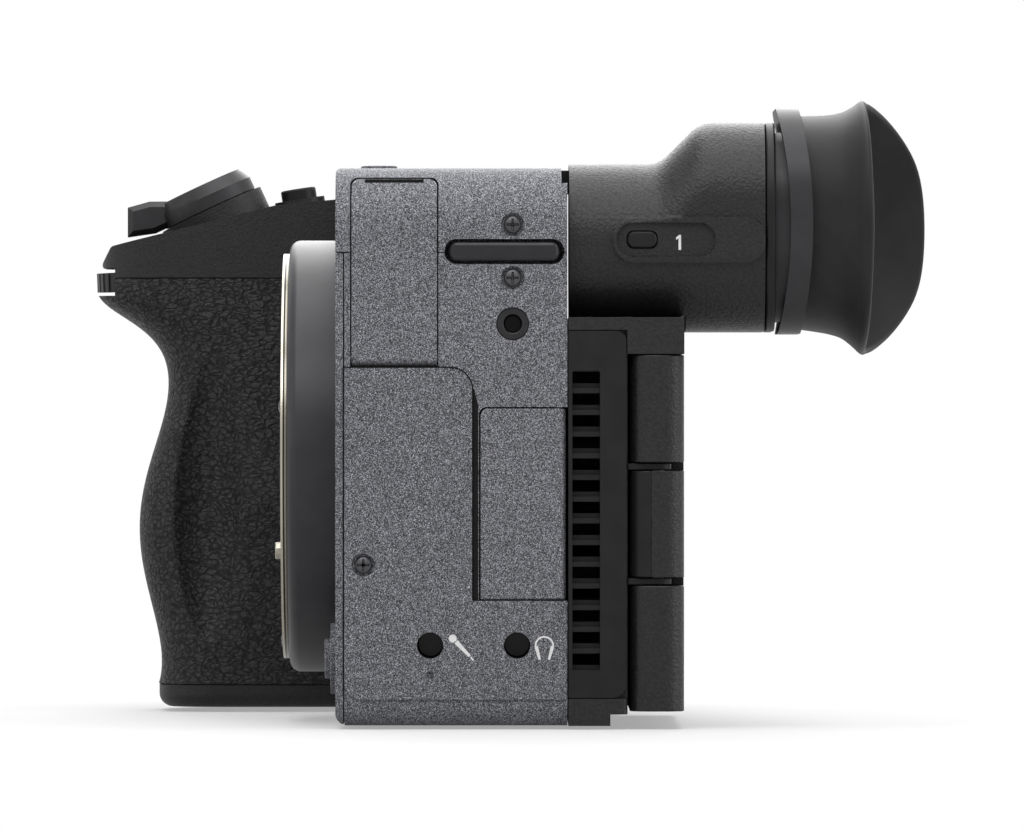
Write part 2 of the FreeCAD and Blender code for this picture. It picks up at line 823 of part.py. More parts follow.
base_slab = block("base_slab", ("left_x", "port_x - side_deep - seam"),
                  ("front_y + front_lip + seam", "back_y"), ("0", "wall"))
base_form = common("base_form", shell_form, base_slab)
node(cut("base_plate", base_form, tripod_body))

# Strap bar bridging its slot, with round ends
bar_bridge = pad("bar_bridge", "XY_Plane", "bar_low", "bar_high", [
    (BAY_FLOOR, "bar_front"), ("port_x + bar_proud", "bar_front", "bar_thick"),
    ("port_x + bar_proud", "bar_back", "bar_thick"), (BAY_FLOOR, "bar_back"),
    (BAY_FLOOR, "bar_back - bar_foot"), ("port_x + bar_proud - bar_thick", "bar_back - bar_foot"),
    ("port_x + bar_proud - bar_thick", "bar_front + bar_foot"), (BAY_FLOOR, "bar_front + bar_foot")])
node(common("strap_bar", bar_bridge, bar_form("bar_ends", "0", f"{BAY_FLOOR} - wall", "port_x + wall")))

# Doors on the port side
hdmi_blank = door_form("hdmi_blank", "0", "0", "hdmi")
hdmi_skin = cut("hdmi_skin", common("hdmi_panel", shell_form, hdmi_blank), inner_form,
                block("hdmi_trim", ("port_x - side_deep", "port_x + wall"), ("front_y", "back_y"),
                      ("hdmi_low - wall", HDMI_AXIS_Z)),
                block("nail_notch", ("port_x - notch_deep", "port_x + wall"),
                      ("hdmi_front + notch_inset", "hdmi_back - notch_inset"),
                      ("hdmi_high - notch_tall", "hdmi_high + wall")))
hdmi_swing = rod("hdmi_swing", "y", (DOOR_AXIS_X, HDMI_AXIS_Z),
                 "hdmi_high - hdmi_low - door_barrel + seam", "front_y", "back_y")
hdmi_barrel = rod("hdmi_barrel", "y", (DOOR_AXIS_X, HDMI_AXIS_Z), "door_barrel",
                  "hdmi_front", "hdmi_back")
hdmi_bore = rod("hdmi_bore", "y", (DOOR_AXIS_X, HDMI_AXIS_Z), "door_pin + pin_fit",
                "hdmi_front - wall", "hdmi_back + wall")
node(cut("hdmi_door", fuse("hdmi_leaf", common("hdmi_arc", hdmi_skin, hdmi_swing), hdmi_barrel), hdmi_bore))

usb_blank = door_form("usb_blank", "0", "0", "usb")
usb_skin = cut("usb_skin", common("usb_panel", shell_form, usb_blank), inner_form,
               block("usb_trim", ("port_x - side_deep", "port_x + wall"), (USB_AXIS_Y, "back_y + wall"),
                     ("usb_low - wall", "usb_high + wall")))
usb_barrel = rod("usb_barrel", "z", (DOOR_AXIS_X, USB_AXIS_Y), "door_barrel", "usb_low", "usb_high")
usb_bore = rod("usb_bore", "z", (DOOR_AXIS_X, USB_AXIS_Y), "door_pin + pin_fit",
               "usb_low - wall", "usb_high + wall")
node(cut("usb_door", fuse("usb_leaf", usb_skin, usb_barrel), usb_bore))

# Accessory shoe sunk into the top
shoe_block = block("shoe_block", ("shoe_x - shoe_wide / 2", "shoe_x + shoe_wide / 2"),
                   ("shoe_front", "shoe_back"), ("body_top - shoe_sink", "body_top + shoe_proud"))
shoe_groove = block("shoe_groove", ("shoe_x - shoe_slot / 2", "shoe_x + shoe_slot / 2"),
                    ("shoe_front + shoe_lip", "shoe_back + wall"),
                    ("body_top - shoe_sink + shoe_floor", "body_top + shoe_proud - shoe_lip"))
shoe_opening = block("shoe_opening", ("shoe_x - shoe_mouth / 2", "shoe_x + shoe_mouth / 2"),
                     ("shoe_front + shoe_lip", "shoe_back + wall"),
                     ("body_top - shoe_sink + shoe_floor", "body_top + wall"))
node(cut("hot_shoe", shoe_block, shoe_groove, shoe_opening))

# Lens mount: dark collar, steel bayonet ring and its screws, contacts and light box
collar_front = "front_y - collar_deep"
collar = turned("collar_turned", [
    ("throat_radius", "front_y"), (COLLAR_OUT, "front_y"), (COLLAR_OUT, collar_front),
    (f"{RING_OUT} + seam", collar_front), (f"{RING_OUT} + seam", f"{collar_front} + ring_sink"),
    ("throat_radius", f"{collar_front} + ring_sink")], ("0", "0", "lens_z"), Rotation())
soften(collar, collar.Tip, "collar_lip", "collar_round", lambda edge: (
    hasattr(edge.Curve, "Radius")
    and abs(edge.Curve.Radius - size("throat_radius") - size("collar_wall")) < 1e-4
    and edge.CenterOfMass.y < size("front_y") - 1))
pin_path = rod("pin_path", "y", (LOCK_X, LOCK_Z), "pin_radius + pin_fit",
               f"{FLANGE} - wall", "front_y + pin_travel + lock_room")
node(cut("mount_collar", collar, pin_path))

ring_back = f"{collar_front} + ring_sink"
ring_blank = rod("ring_blank", "y", ("0", "lens_z"), RING_OUT, FLANGE, ring_back)
ring_bore = rod("ring_bore", "y", ("0", "lens_z"), BAYONET_BORE, f"{FLANGE} - wall",
                f"{ring_back} + wall")
gates = []
for turn in GATE_TURNS:
    gate = doc.addObject("Part::Box", f"bayonet_gate_{turn}")
    gate.Placement = Placement(Vector(), Rotation(Vector(0, 1, 0), -turn))
    tie(gate, "Length", f"{BAYONET_BORE} + gate_deep")
    tie(gate, "Width", "collar_deep")
    tie(gate, "Height", "gate_wide")
    tie(gate, "Placement.Base.x", f"sin({turn}) * gate_wide / 2")
    tie(gate, "Placement.Base.y", f"{FLANGE} - wall")
    tie(gate, "Placement.Base.z", f"lens_z - cos({turn}) * gate_wide / 2")
    gates.append(gate)
mount_screws = []
mount_holes = []
for turn in SCREW_TURNS:
    place = (f"{SCREW_CIRCLE} * cos({turn})", f"lens_z + {SCREW_CIRCLE} * sin({turn})")
    mount_screws.append(rod(f"mount_screw_{turn}", "y", place, "mount_screw_radius",
                            f"{FLANGE} + seam", ring_back))
    mount_holes.append(rod(f"mount_hole_{turn}", "y", place, "mount_screw_radius + pin_fit",
                           f"{FLANGE} - wall", f"{ring_back} + wall"))
node(cut("mount_ring", ring_blank, ring_bore, pin_path, *gates, *mount_holes))
node(group("screws", *screws, *mount_screws))

box_back = f"{SENSOR} - glass_thick - seam"
box_outer = rod("box_outer", "y", ("0", "lens_z"), "throat_radius - seam", "front_y", box_back)
box_inner = rod("box_inner", "y", ("0", "lens_z"), "throat_radius - seam - box_wall",
                "front_y - wall", f"{box_back} - box_wall")
window = block("window", ("-sensor_wide / 2", "sensor_wide / 2"), ("front_y", "back_y"),
               ("lens_z - sensor_high / 2", "lens_z + sensor_high / 2"))
node(cut("light_box", box_outer, box_inner, window, lock_hole))
contact_low = "lens_z - throat_radius + contact_rise"
node(block("contact_block", ("-contact_wide / 2", "contact_wide / 2"),
           ("front_y - contact_long", "front_y"), (contact_low, f"{contact_low} + contact_thick")))
frame_block = block("frame_block", ("-sensor_wide / 2 - sensor_rim", "sensor_wide / 2 + sensor_rim"),
                    (SENSOR, f"{SENSOR} + frame_thick"),
                    ("lens_z - sensor_high / 2 - sensor_rim", "lens_z + sensor_high / 2 + sensor_rim"))
node(frame_block, "sensor_frame")
node(block("sensor_glass", ("-sensor_wide / 2 - box_wall", "sensor_wide / 2 + box_wall"),
           (f"{SENSOR} - glass_thick", SENSOR),
           ("lens_z - sensor_high / 2 - box_wall", "lens_z + sensor_high / 2 + box_wall")))

release_place = ("release_x", "release_z")
node(rod("lens_release", "y", release_place, "release_radius",
         "front_y - boss_high - release_stand", "front_y + front_lip + wall"))
node(rod("lock_pin", "y", (LOCK_X, LOCK_Z), "pin_radius",
         f"{FLANGE} - pin_travel", "front_y + front_lip + wall"))

# Rear cover with the shelf over the monitor, the foot, and room for fan, vent and controls
CONTROLS = {
    "menu_button": ("menu_x", "menu_z"),
    "autofocus_button": ("af_x", "menu_z"),
    "play_button": ("play_x", "play_z"),
}
rear_form = pad("rear_form", "XY_Plane", "wall", "rear_top", [
    ("grip_out", REAR_FRONT), ("port_x", REAR_FRONT), ("port_x", "rear_y", "edge_round"),
    ("grip_out", "rear_y", "rear_corner")])
shelf = block("shelf", ("screen_left", "port_x"), ("rear_y - wall", "screen_back"),
              ("rear_top - shelf_thick", "rear_top"))
foot = block("foot", ("left_x", "port_x"), (REAR_FRONT, "back_y + foot_deep"), ("0", "wall"))
fan_room = block("fan_room", ("fan_x - fan_radius - fan_side", "port_x - vent_thick"),
                 ("back_y", "rear_y - rear_wall"), ("slot_low - wall", "slot_top + wall"))
vent_room = block("vent_room", ("port_x - vent_thick", "port_x + wall"), ("back_y", "rear_y + wall"),
                  ("vent_low - seam", "vent_high + seam"))
wheel_room = rod("wheel_room", "y", ("wheel_x", "wheel_z"), "wheel_radius + slot_clear",
                 "rear_y - wheel_sunk", "rear_y + wall")
wheel_post = rod("wheel_post", "y", ("wheel_x", "wheel_z"), "wheel_bore - wheel_fit",
                 "rear_y - wheel_sunk - wall", "rear_y + wheel_stand - seam")
wheel_well = rod("wheel_well", "y", ("wheel_x", "wheel_z"), "wheel_key + button_fit",
                 "rear_y - button_room", "rear_y + wheel_stand + wall")
stick_well = rod("stick_well", "y", ("stick_x", "stick_z"), "stick_neck + stick_swing",
                 "rear_y - stick_deep", "rear_y + wall")
button_wells = [
    rod(f"{name}_well", "y", place, "rear_button + button_fit", "rear_y - button_room",
        "rear_y + wall") for name, place in CONTROLS.items()]
lugs = []
for name, low in (("lower", "notch_low + seam"), ("upper", "notch_high - seam - bracket_thick")):
    lugs.append(pad(f"{name}_swing_lug", "XY_Plane", low, f"{low} + bracket_thick", [
        ("swing_x - lug_half", "rear_y"), ("swing_x + lug_half", "rear_y"),
        ("swing_x + lug_half", "swing_y + lug_half", "lug_half - seam"),
        ("swing_x - lug_half", "swing_y + lug_half", "lug_half - seam")]))
rear_blank = fuse("rear_blank", rear_form, shelf, foot)
rear_hollow = cut("rear_hollow", rear_blank, fan_room, vent_room, wheel_room, stick_well,
                  *button_wells, *lugs)
node(cut("rear_cover", fuse("rear_posted", rear_hollow, wheel_post), wheel_well))

swing_pin = rod("monitor_pin", "z", ("swing_x", "swing_y"), "swing_pin",
                "notch_low + 2 * seam", "notch_high - 2 * seam")
evf_pins = [rod(f"{name}_evf_pin", "x", ("hinge_y", "hinge_z"), "hinge_pin",
                f"{low} - pin_reach", f"{low} + lug_wide + pin_reach")
            for name, low in EVF_LUGS.items()]
node(group("hinge_pins", hdmi_pin, usb_pin, swing_pin, *evf_pins))
node(group("hinge_brackets", *[cut(f"{lug.Label}_bored", lug, swing_pin) for lug in lugs],
           *[cut(f"{name}_evf_lug", lug, pin)
             for (name, lug), pin in zip(evf_lugs.items(), evf_pins)]))


def slotted_plate(label, x_low, x_high, outline_corners, first_slot):
    """Upright plate with a row of equal slots, repeated up the plate."""
    body = pad(label, "YZ_Plane", x_low, x_high, outline_corners)
    cell = pocket(body, label + "_slot", "YZ_Plane", x_low, x_high, [
        ("slot_front", first_slot), ("slot_back", first_slot),
        ("slot_back", f"{first_slot} + slot_pitch - slot_rib"),
        ("slot_front", f"{first_slot} + slot_pitch - slot_rib")])
    row = body.newObject("PartDesign::LinearPattern", label + "_row")
    row.Originals = [cell]
    row.Direction = (cell.Profile[0], ["V_Axis"])
    row.Mode = "Spacing"
    tie(row, "Offset", "slot_pitch")
    tie(row, "Occurrences", "slot_count")
    body.Tip = row
    return body


vent_plate = slotted_plate("vent_plate", "port_x - vent_thick", "port_x", [
    (REAR_FRONT, "vent_low"), ("vent_back", "vent_low", "vent_foot_round"),
    ("vent_back", "vent_high", "vent_top_round"), (REAR_FRONT, "vent_high")], "slot_low")
node(cut("vent_panel", vent_plate, pad("vent_mouth", "YZ_Plane", "port_x - rib_sunk", "port_x + wall", [
    (y, z, "mouth_corner") for y, z in (("slot_front", "slot_low"), ("slot_back", "slot_low"),
                                        ("slot_back", "slot_top"), ("slot_front", "slot_top"))])))
node(slotted_plate("vent_baffle", "port_x - vent_thick - seam - baffle_deep",
                   "port_x - vent_thick - seam", [
                       (REAR_FRONT, "slot_low - wall"), ("rear_y - rear_wall", "slot_low - wall"),
                       ("rear_y - rear_wall", "slot_top + wall"), (REAR_FRONT, "slot_top + wall")],
                   "slot_low + slot_rib"))

# Cooling fan behind the vent, blowing across the rear
fan_front = "back_y + fan_gap"
fan_back = f"{fan_front} + fan_thick"
hub = rod("fan_hub_rod", "y", ("fan_x", "fan_z"), "fan_hub", fan_front, fan_back)
blades = []
for number in range(SIZES["fan_blades"]):
    blade = doc.addObject("Part::Box", f"fan_blade_{number}")
    turn = 360 * number / SIZES["fan_blades"]
    blade.Placement = Placement(Vector(), Rotation(Vector(0, 1, 0), turn))
    tie(blade, "Length", "fan_radius")
    tie(blade, "Width", "fan_thick")
    tie(blade, "Height", "blade_thick")
    tie(blade, "Placement.Base.x", "fan_x")
    tie(blade, "Placement.Base.y", fan_front)
    tie(blade, "Placement.Base.z", "fan_z")
    blades.append(blade)
fan_bore = rod("fan_bore", "y", ("fan_x", "fan_z"), "fan_shaft + pin_fit", "back_y", "rear_y")
node(cut("fan_rotor", fuse("fan_wheel", hub, *blades), fan_bore))
stator = rod("stator_can", "y", ("fan_x", "fan_z"), "fan_hub", f"{fan_back} + fan_float",
             "rear_y - rear_wall")
shaft = rod("stator_shaft", "y", ("fan_x", "fan_z"), "fan_shaft", f"{fan_front} + seam",
            "rear_y - rear_wall")
node(fuse("fan_stator", stator, shaft))

# Rear controls
node(cut("control_wheel",
         rod("wheel_disc", "y", ("wheel_x", "wheel_z"), "wheel_radius",
             "rear_y - wheel_sunk + seam", "rear_y + wheel_stand"),
         rod("wheel_hole", "y", ("wheel_x", "wheel_z"), "wheel_bore", "back_y",
             "rear_y + wheel_stand + wall")))
node(rod("wheel_button", "y", ("wheel_x", "wheel_z"), "wheel_key",
         "rear_y - button_room + button_travel + seam", "rear_y + wheel_stand + button_travel"))
for name, place in CONTROLS.items():
    node(rod(name, "y", place, "rear_button", "rear_y - button_room + button_travel + seam",
             "rear_y + rear_stand"))
node(fuse("joystick",
          rod("stick_stem", "y", ("stick_x", "stick_z"), "stick_neck",
              "rear_y - stick_deep + stick_float", "rear_y + stick_lift + wall"),
          rod("stick_cap", "y", ("stick_x", "stick_z"), "stick_radius",
              "rear_y + stick_lift", "rear_y + stick_lift + wall")))
node(rod("top_button", "z", ("top_button_x", "top_button_y"), "top_button_radius",
         "body_top - button_room + button_travel + seam", "body_top + top_button_stand"))


# Grip: rubber skin over a hollow core, both lofted through the same stations
STATIONS = ("foot", "heel", "palm", "waist", "flare", "lip")


def grip_wire(height, front, inset):
    """Level outline of the grip: round nose on the lens side, wide shoulder on the outer side."""
    left = size("grip_out") + inset
    right = size("grip_in") - inset
    back = size("back_y") - size("seam")
    front += inset
    nose = size("grip_nose") - inset
    shoulder = size("grip_shoulder") - inset
    diagonal = 1 - math.sqrt(0.5)
    points = [Vector(right, back, height), Vector(right, front + nose, height),
              Vector(right - nose * diagonal, front + nose * diagonal, height),
              Vector(right - nose, front, height), Vector(left + shoulder, front, height),
              Vector(left + shoulder * diagonal, front + shoulder * diagonal, height),
              Vector(left, front + shoulder, height), Vector(left, back, height)]
    edges = [Part.makeLine(points[0], points[1]),
             Part.Arc(points[1], points[2], points[3]).toShape(),
             Part.makeLine(points[3], points[4]),
             Part.Arc(points[4], points[5], points[6]).toShape(),
             Part.makeLine(points[6], points[7]), Part.makeLine(points[7], points[0])]
    return Part.Wire(edges)


def grip_form(inset):
    """Grip body drawn in by the inset, with the finger valley pressed into its lens side."""
    wires = [grip_wire(size(f"grip_{name}_z"), size(f"grip_{name}_y"), inset) for name in STATIONS]
    wires.append(grip_wire(size("grip_top"), size("grip_lip_y"), inset))
    valley = FreeCAD.Matrix()
    valley.scale(size("valley_deep") + inset, size("valley_wide") + inset,
                 size("valley_tall") + inset)
    hollow = Part.makeSphere(1).transformGeometry(valley)
    hollow.translate(Vector(size("valley_x"), size("valley_y"), size("grip_palm_z")))
    return Part.makeLoft(wires, True, False).cut(hollow)


def shape_feature(label, shape):
    feature = doc.addObject("Part::Feature", label)
    feature.Shape = shape
    return feature


doc.recompute()
grip_outer = shape_feature("grip_outer", grip_form(0))
grip_inner = shape_feature("grip_inner", grip_form(size("skin_thick")))

battery_span = (("battery_x", "battery_x + battery_wide"), ("battery_y", "battery_y + battery_long"),
                ("battery_z", "battery_z + battery_high"))
node(block("battery", *battery_span))
bay = block("battery_bay", *[(f"{low} - bay_fit", f"{high} + bay_fit") for low, high in battery_span])
hatch_span = (("battery_x - hatch_rim", "battery_x + battery_wide + hatch_rim"),
              ("battery_y - hatch_rim", "battery_y + battery_long + hatch_rim"))
hatch_room = block("hatch_room", *[(f"{low} - door_gap", f"{high} + door_gap")
                                   for low, high in hatch_span],
                   ("grip_base - wall", "battery_z - bay_fit"))
card_room = block("card_room", ("grip_out - wall", "grip_out + card_deep"),
                  ("card_front - door_gap", "back_y"), ("card_low - door_gap", "card_high + door_gap"))
dial_place = ("dial_x", "dial_y", "dial_z")
dial_slot = leaning_rod("dial_slot", dial_place, "dial_lean", "dial_radius + slot_clear",
                        "-dial_thick / 2 - slot_clear", "dial_thick / 2 + slot_clear")
dial_mouth = block("dial_mouth", ("grip_out - wall", "left_x"), ("deck_nose_y - 2 * wall", "mouth_y"),
                   ("mouth_low", "mouth_high"))
dial_post = leaning_rod("dial_post", dial_place, "dial_lean", "dial_pin",
                        "-dial_thick / 2 - slot_clear - seam", "dial_thick / 2 + slot_clear + seam")


def foot_form(label, inset, high):
    return pad(label, "XY_Plane", "grip_base", high, [
        (f"grip_in - {inset}", CHASSIS_BACK),
        (f"grip_in - {inset}", f"grip_foot_y + {inset}", f"grip_nose - {inset}"),
        (f"grip_out + {inset}", f"grip_foot_y + {inset}", f"grip_shoulder - {inset}"),
        (f"grip_out + {inset}", CHASSIS_BACK)])


grip_foot = foot_form("grip_foot", "foot_inset", "grip_foot_z - seam")
grip_ankle = foot_form("grip_ankle", "2 * skin_thick", "grip_foot_z + skin_thick")
soften(grip_foot, grip_foot.Tip, "foot_edge", "foot_round", lambda edge: (
    abs(edge.CenterOfMass.z - size("grip_base")) < 1e-4
    and edge.CenterOfMass.y < size("back_y") - size("wall")))
grip_rear = block("grip_rear", ("grip_out", "grip_in"), ("skin_back + seam", CHASSIS_BACK),
                  ("grip_base", "grip_top"))
core_blank = fuse("core_blank", grip_inner, grip_foot, grip_ankle, grip_rear)
core_cut = cut("core_cut", core_blank, bay, hatch_room, card_room, dial_slot, dial_mouth)
hatch_pin = rod("hatch_pin", "y", ("battery_x + battery_wide + hatch_rim - hatch_thick / 2",
                                   "grip_base + hatch_thick / 2"), "door_pin",
                "battery_y - hatch_rim - pin_end", "battery_y + battery_long + hatch_rim + pin_end")
card_axis_x = "grip_out + hatch_thick / 2"
card_axis_y = "card_back - hatch_thick / 2"
card_pin = rod("card_pin", "z", (card_axis_x, card_axis_y), "door_pin",
               "card_low - pin_end", "card_high + pin_end")
node(fuse("grip_core", core_cut, dial_post, hatch_pin, card_pin))
skin_end = block("skin_end", ("grip_out - wall", "left_x"), ("skin_back", "back_y + wall"),
                 ("0", "body_top"))
node(cut("grip_skin", grip_outer, grip_inner, skin_end, dial_slot, dial_mouth))

# Doors of the battery and the cards, each turning about a half round edge
hatch_plate = block("hatch_plate", ("battery_x - hatch_rim",
                                    "battery_x + battery_wide + hatch_rim - hatch_thick / 2"),
                    hatch_span[1], ("grip_base", "grip_base + hatch_thick"))
hatch_barrel = rod("hatch_barrel", "y", ("battery_x + battery_wide + hatch_rim - hatch_thick / 2",
                                         "grip_base + hatch_thick / 2"), "hatch_thick / 2",
                   *hatch_span[1])
hatch_bore = rod("hatch_bore", "y", ("battery_x + battery_wide + hatch_rim - hatch_thick / 2",
                                     "grip_base + hatch_thick / 2"), "door_pin + pin_fit",
                 "battery_y - hatch_rim - wall", "battery_y + battery_long + hatch_rim + wall")
node(cut("battery_door", fuse("hatch_leaf", hatch_plate, hatch_barrel), hatch_bore))
card_plate = block("card_plate", ("grip_out", "grip_out + hatch_thick"), ("card_front", card_axis_y),
                   ("card_low", "card_high"))
card_barrel = rod("card_barrel", "z", (card_axis_x, card_axis_y), "hatch_thick / 2",
                  "card_low", "card_high")
card_bore = rod("card_bore", "z", (card_axis_x, card_axis_y), "door_pin + pin_fit",
                "card_low - wall", "card_high + wall")
node(cut("card_door", fuse("card_leaf", card_plate, card_barrel), card_bore))

# Deck on top of the grip, with the seats of its controls
deck_side = pad("deck_side", "YZ_Plane", "grip_out", "grip_in", [
    (CHASSIS_BACK, "grip_top + seam"), (CHASSIS_BACK, "deck_top", "edge_round"),
    ("front_y", "deck_top"), ("deck_step_y", "deck_step_z"), ("deck_mid_y", "deck_mid_z"),
    ("deck_brow_y", "deck_brow_z", "edge_round"), ("deck_nose_y", "deck_nose_z", "edge_round"),
    ("deck_nose_y + deck_tuck", "grip_top + seam")])
deck_plan = pad("deck_plan", "XY_Plane", "grip_base", "body_top", [
    ("grip_in", CHASSIS_BACK), ("grip_in", "deck_nose_y", "grip_nose"),
    ("grip_out", "deck_nose_y", "grip_shoulder"), ("grip_out", CHASSIS_BACK, "edge_round")])
lever_place = ("lever_x", "lever_y", "lever_z")
rec_place = ("rec_x", "rec_y", "rec_z")
plinth = leaning_rod("plinth", lever_place, "lever_lean", "plinth_radius", "-side_deep",
                     "lever_low - seam")
neck = leaning_rod("lever_neck", lever_place, "lever_lean", "lever_bore - wheel_fit",
                   "0", "lever_low + neck_high")
stem_hole = leaning_rod("stem_hole", lever_place, "lever_lean", "shutter_stem + button_fit",
                        "-side_deep / 2", "lever_high + wall")
rec_rim = leaning_rod("rec_rim_rod", rec_place, "rec_lean", "rec_rim", "-button_room", "rec_rim_high")
rec_well = leaning_rod("rec_well", rec_place, "rec_lean", "rec_radius + button_fit",
                       "-button_room", "rec_stand + wall")
thumb_post = rod("thumb_post", "z", ("thumb_x", "thumb_y"), "dial_pin",
                 "deck_top - wall", "deck_top + thumb_high")
switch_post = rod("switch_post", "z", ("switch_x", "switch_y"), "dial_pin",
                  "deck_top - wall", "deck_top + switch_high")
deck_blank = fuse("deck_blank", common("deck_form", deck_side, deck_plan), plinth, neck, rec_rim,
                  thumb_post, switch_post)
node(cut("grip_deck", deck_blank, stem_hole, rec_well, dial_slot, dial_mouth, dial_post))


def knurled(label, disc, centre_of):
    """Disc with a row of grooves round its edge, each a small rod placed by a formula."""
    grooves = []
    for number in range(SIZES["knurl_count"]):
        grooves.append(centre_of(f"{label}_groove_{number}", 360 * number / SIZES["knurl_count"]))
    return cut(label, disc, *grooves)


def upright_groove(place, radius, low, high):
    def make(label, turn):
        return rod(label, "z", (f"{place[0]} + ({radius}) * cos({turn})",
                                f"{place[1]} + ({radius}) * sin({turn})"), "knurl_deep", low, high)
    return make


def leaning_groove(place, lean, radius, low, high):
    def make(label, turn):
        across = f"({radius}) * sin({turn})"
        return leaning_rod(label, (f"{place[0]} + ({radius}) * cos({turn})",
                                   f"{place[1]} + {across} * cos({lean})",
                                   f"{place[2]} + {across} * sin({lean})"),
                           lean, "knurl_deep", low, high)
    return make


front_disc = cut("front_disc",
                 leaning_rod("front_rod", dial_place, "dial_lean", "dial_radius",
                             "-dial_thick / 2", "dial_thick / 2"),
                 leaning_rod("front_bore", dial_place, "dial_lean", "dial_pin + pin_fit",
                             "-dial_thick", "dial_thick"))
node(knurled("front_dial", front_disc, leaning_groove(dial_place, "dial_lean", "dial_radius",
                                                      "-dial_thick", "dial_thick")))
thumb_low = "deck_top + seam"
thumb_disc = cut("thumb_disc",
                 rod("thumb_rod", "z", ("thumb_x", "thumb_y"), "thumb_radius", thumb_low,
                     "deck_top + thumb_high"),
                 rod("thumb_bore", "z", ("thumb_x", "thumb_y"), "dial_pin + pin_fit", "deck_top",
                     "deck_top + thumb_high + wall"))
node(knurled("rear_dial", thumb_disc, upright_groove(("thumb_x", "thumb_y"), "thumb_radius",
                                                     "deck_top", "deck_top + thumb_high + wall")))
switch_blank = fuse("switch_blank",
                    rod("switch_rod", "z", ("switch_x", "switch_y"), "switch_radius", thumb_low,
                        "deck_top + switch_high"),
                    block("switch_tab", ("switch_x - wall", "switch_x + wall"),
                          ("switch_y - switch_radius - wall", "switch_y"),
                          (thumb_low, "deck_top + switch_high")))
node(cut("power_switch", switch_blank,
         rod("switch_bore", "z", ("switch_x", "switch_y"), "dial_pin + pin_fit", "deck_top",
             "deck_top + switch_high + wall")))

lever_disc = leaning_rod("lever_disc", lever_place, "lever_lean", "lever_radius", "lever_low",
                         "lever_mid")
lever_bevel = leaning_cone("lever_bevel", lever_place, "lever_lean", "lever_radius",
                           "lever_crown", "lever_mid", "lever_high")


# Finger block of the lever, with bevelled ends
nub_span = ("lever_x - lever_nub_wide / 2", "lever_x + lever_nub_wide / 2")
lever_nub = pad("lever_nub", "YZ_Plane", *nub_span, [
    ("nub_front", "nub_low"), ("nub_heel", "nub_low + nub_rise"), ("nub_root", "nub_root_low"),
    ("nub_root", "nub_high"), ("nub_crest", "nub_high"), ("nub_front", "nub_high - nub_drop")])
soften(lever_nub, lever_nub.Tip, "nub_bevel", "nub_edge", lambda edge: all(
    min(abs(vertex.X - size("lever_x") - side * size("lever_nub_wide") / 2) for side in (-1, 1)) < 1e-4
    for vertex in edge.Vertexes) and abs(edge.CenterOfMass.x - size("lever_x")) > size("wall"), "Chamfer")
node(cut("zoom_lever", fuse("lever_blank", lever_disc, lever_bevel, lever_nub),
         leaning_rod("lever_hole", lever_place, "lever_lean", "lever_bore", "0",
                     "lever_high + wall")))
node(fuse("shutter_button",
          leaning_rod("shutter_cap", lever_place, "lever_lean", "shutter_radius",
                      "lever_low + neck_high + shutter_travel + seam", "lever_high"),
          leaning_rod("shutter_stem_rod", lever_place, "lever_lean", "shutter_stem",
                      "-side_deep / 2 + shutter_travel + seam",
                      "lever_low + neck_high + shutter_travel + 2 * seam")))
node(leaning_rod("record_button", rec_place, "rec_lean", "rec_radius",
                 "-button_room + button_travel + seam", "rec_stand"))

# Viewfinder housing: a barrel of rounded outlines whose top rises to a hump behind the hinge
def round_wire(depth, half_wide, half_high, corner, middle_z):
    """Upright rounded outline about the eyepiece's middle, at one depth behind the lens."""
    edges = []
    corners = []
    for k in range(4):
        turn = Rotation(Vector(0, 1, 0), -90 * k)
        wide, high = (half_wide, half_high) if k % 2 == 0 else (half_high, half_wide)
        start = turn.multVec(Vector(wide, 0, high - corner))
        middle = turn.multVec(Vector(wide - corner * (1 - math.sqrt(0.5)), 0,
                                     high - corner * (1 - math.sqrt(0.5))))
        stop = turn.multVec(Vector(wide - corner, 0, high))
        corners.append((start, middle, stop))
    shift = Vector(size("bore_x"), depth, middle_z)
    for k, (start, middle, stop) in enumerate(corners):
        edges.append(Part.Arc(start + shift, middle + shift, stop + shift).toShape())
        edges.append(Part.makeLine(stop + shift, corners[(k + 1) % 4][0] + shift))
    return Part.Wire(edges)


def barrel_tops():
    """Height of the barrel's top along it: level, up a slope with soft bends, level again."""
    low = size("evf_top")
    high = size("bore_z") + size("hump_rise")
    lean = math.atan2(high - low, size("evf_hump_y") - size("evf_rise_y"))
    bend = size("evf_corner")
    reach = bend * math.tan(lean / 2)
    tops = [(size("evf_front"), low)]
    for share in (0, 1 / 3, 2 / 3, 1):
        turn = lean * share
        tops.append((size("evf_rise_y") - reach + bend * math.sin(turn),
                     low + bend * (1 - math.cos(turn))))
    for share in (1, 2 / 3, 1 / 3, 0):
        turn = lean * share
        tops.append((size("evf_hump_y") + reach - bend * math.sin(turn),
                     high - bend * (1 - math.cos(turn))))
    return tops + [(size("evf_back"), high)]


def barrel(grown):
    low = size("evf_low") - grown
    half_wide = (size("evf_right") - size("evf_left")) / 2 + grown
    wires = [round_wire(depth, half_wide, (top + grown - low) / 2, size("evf_round") + grown,
                        (top + grown + low) / 2) for depth, top in barrel_tops()]
    return Part.makeLoft(wires, True, True)


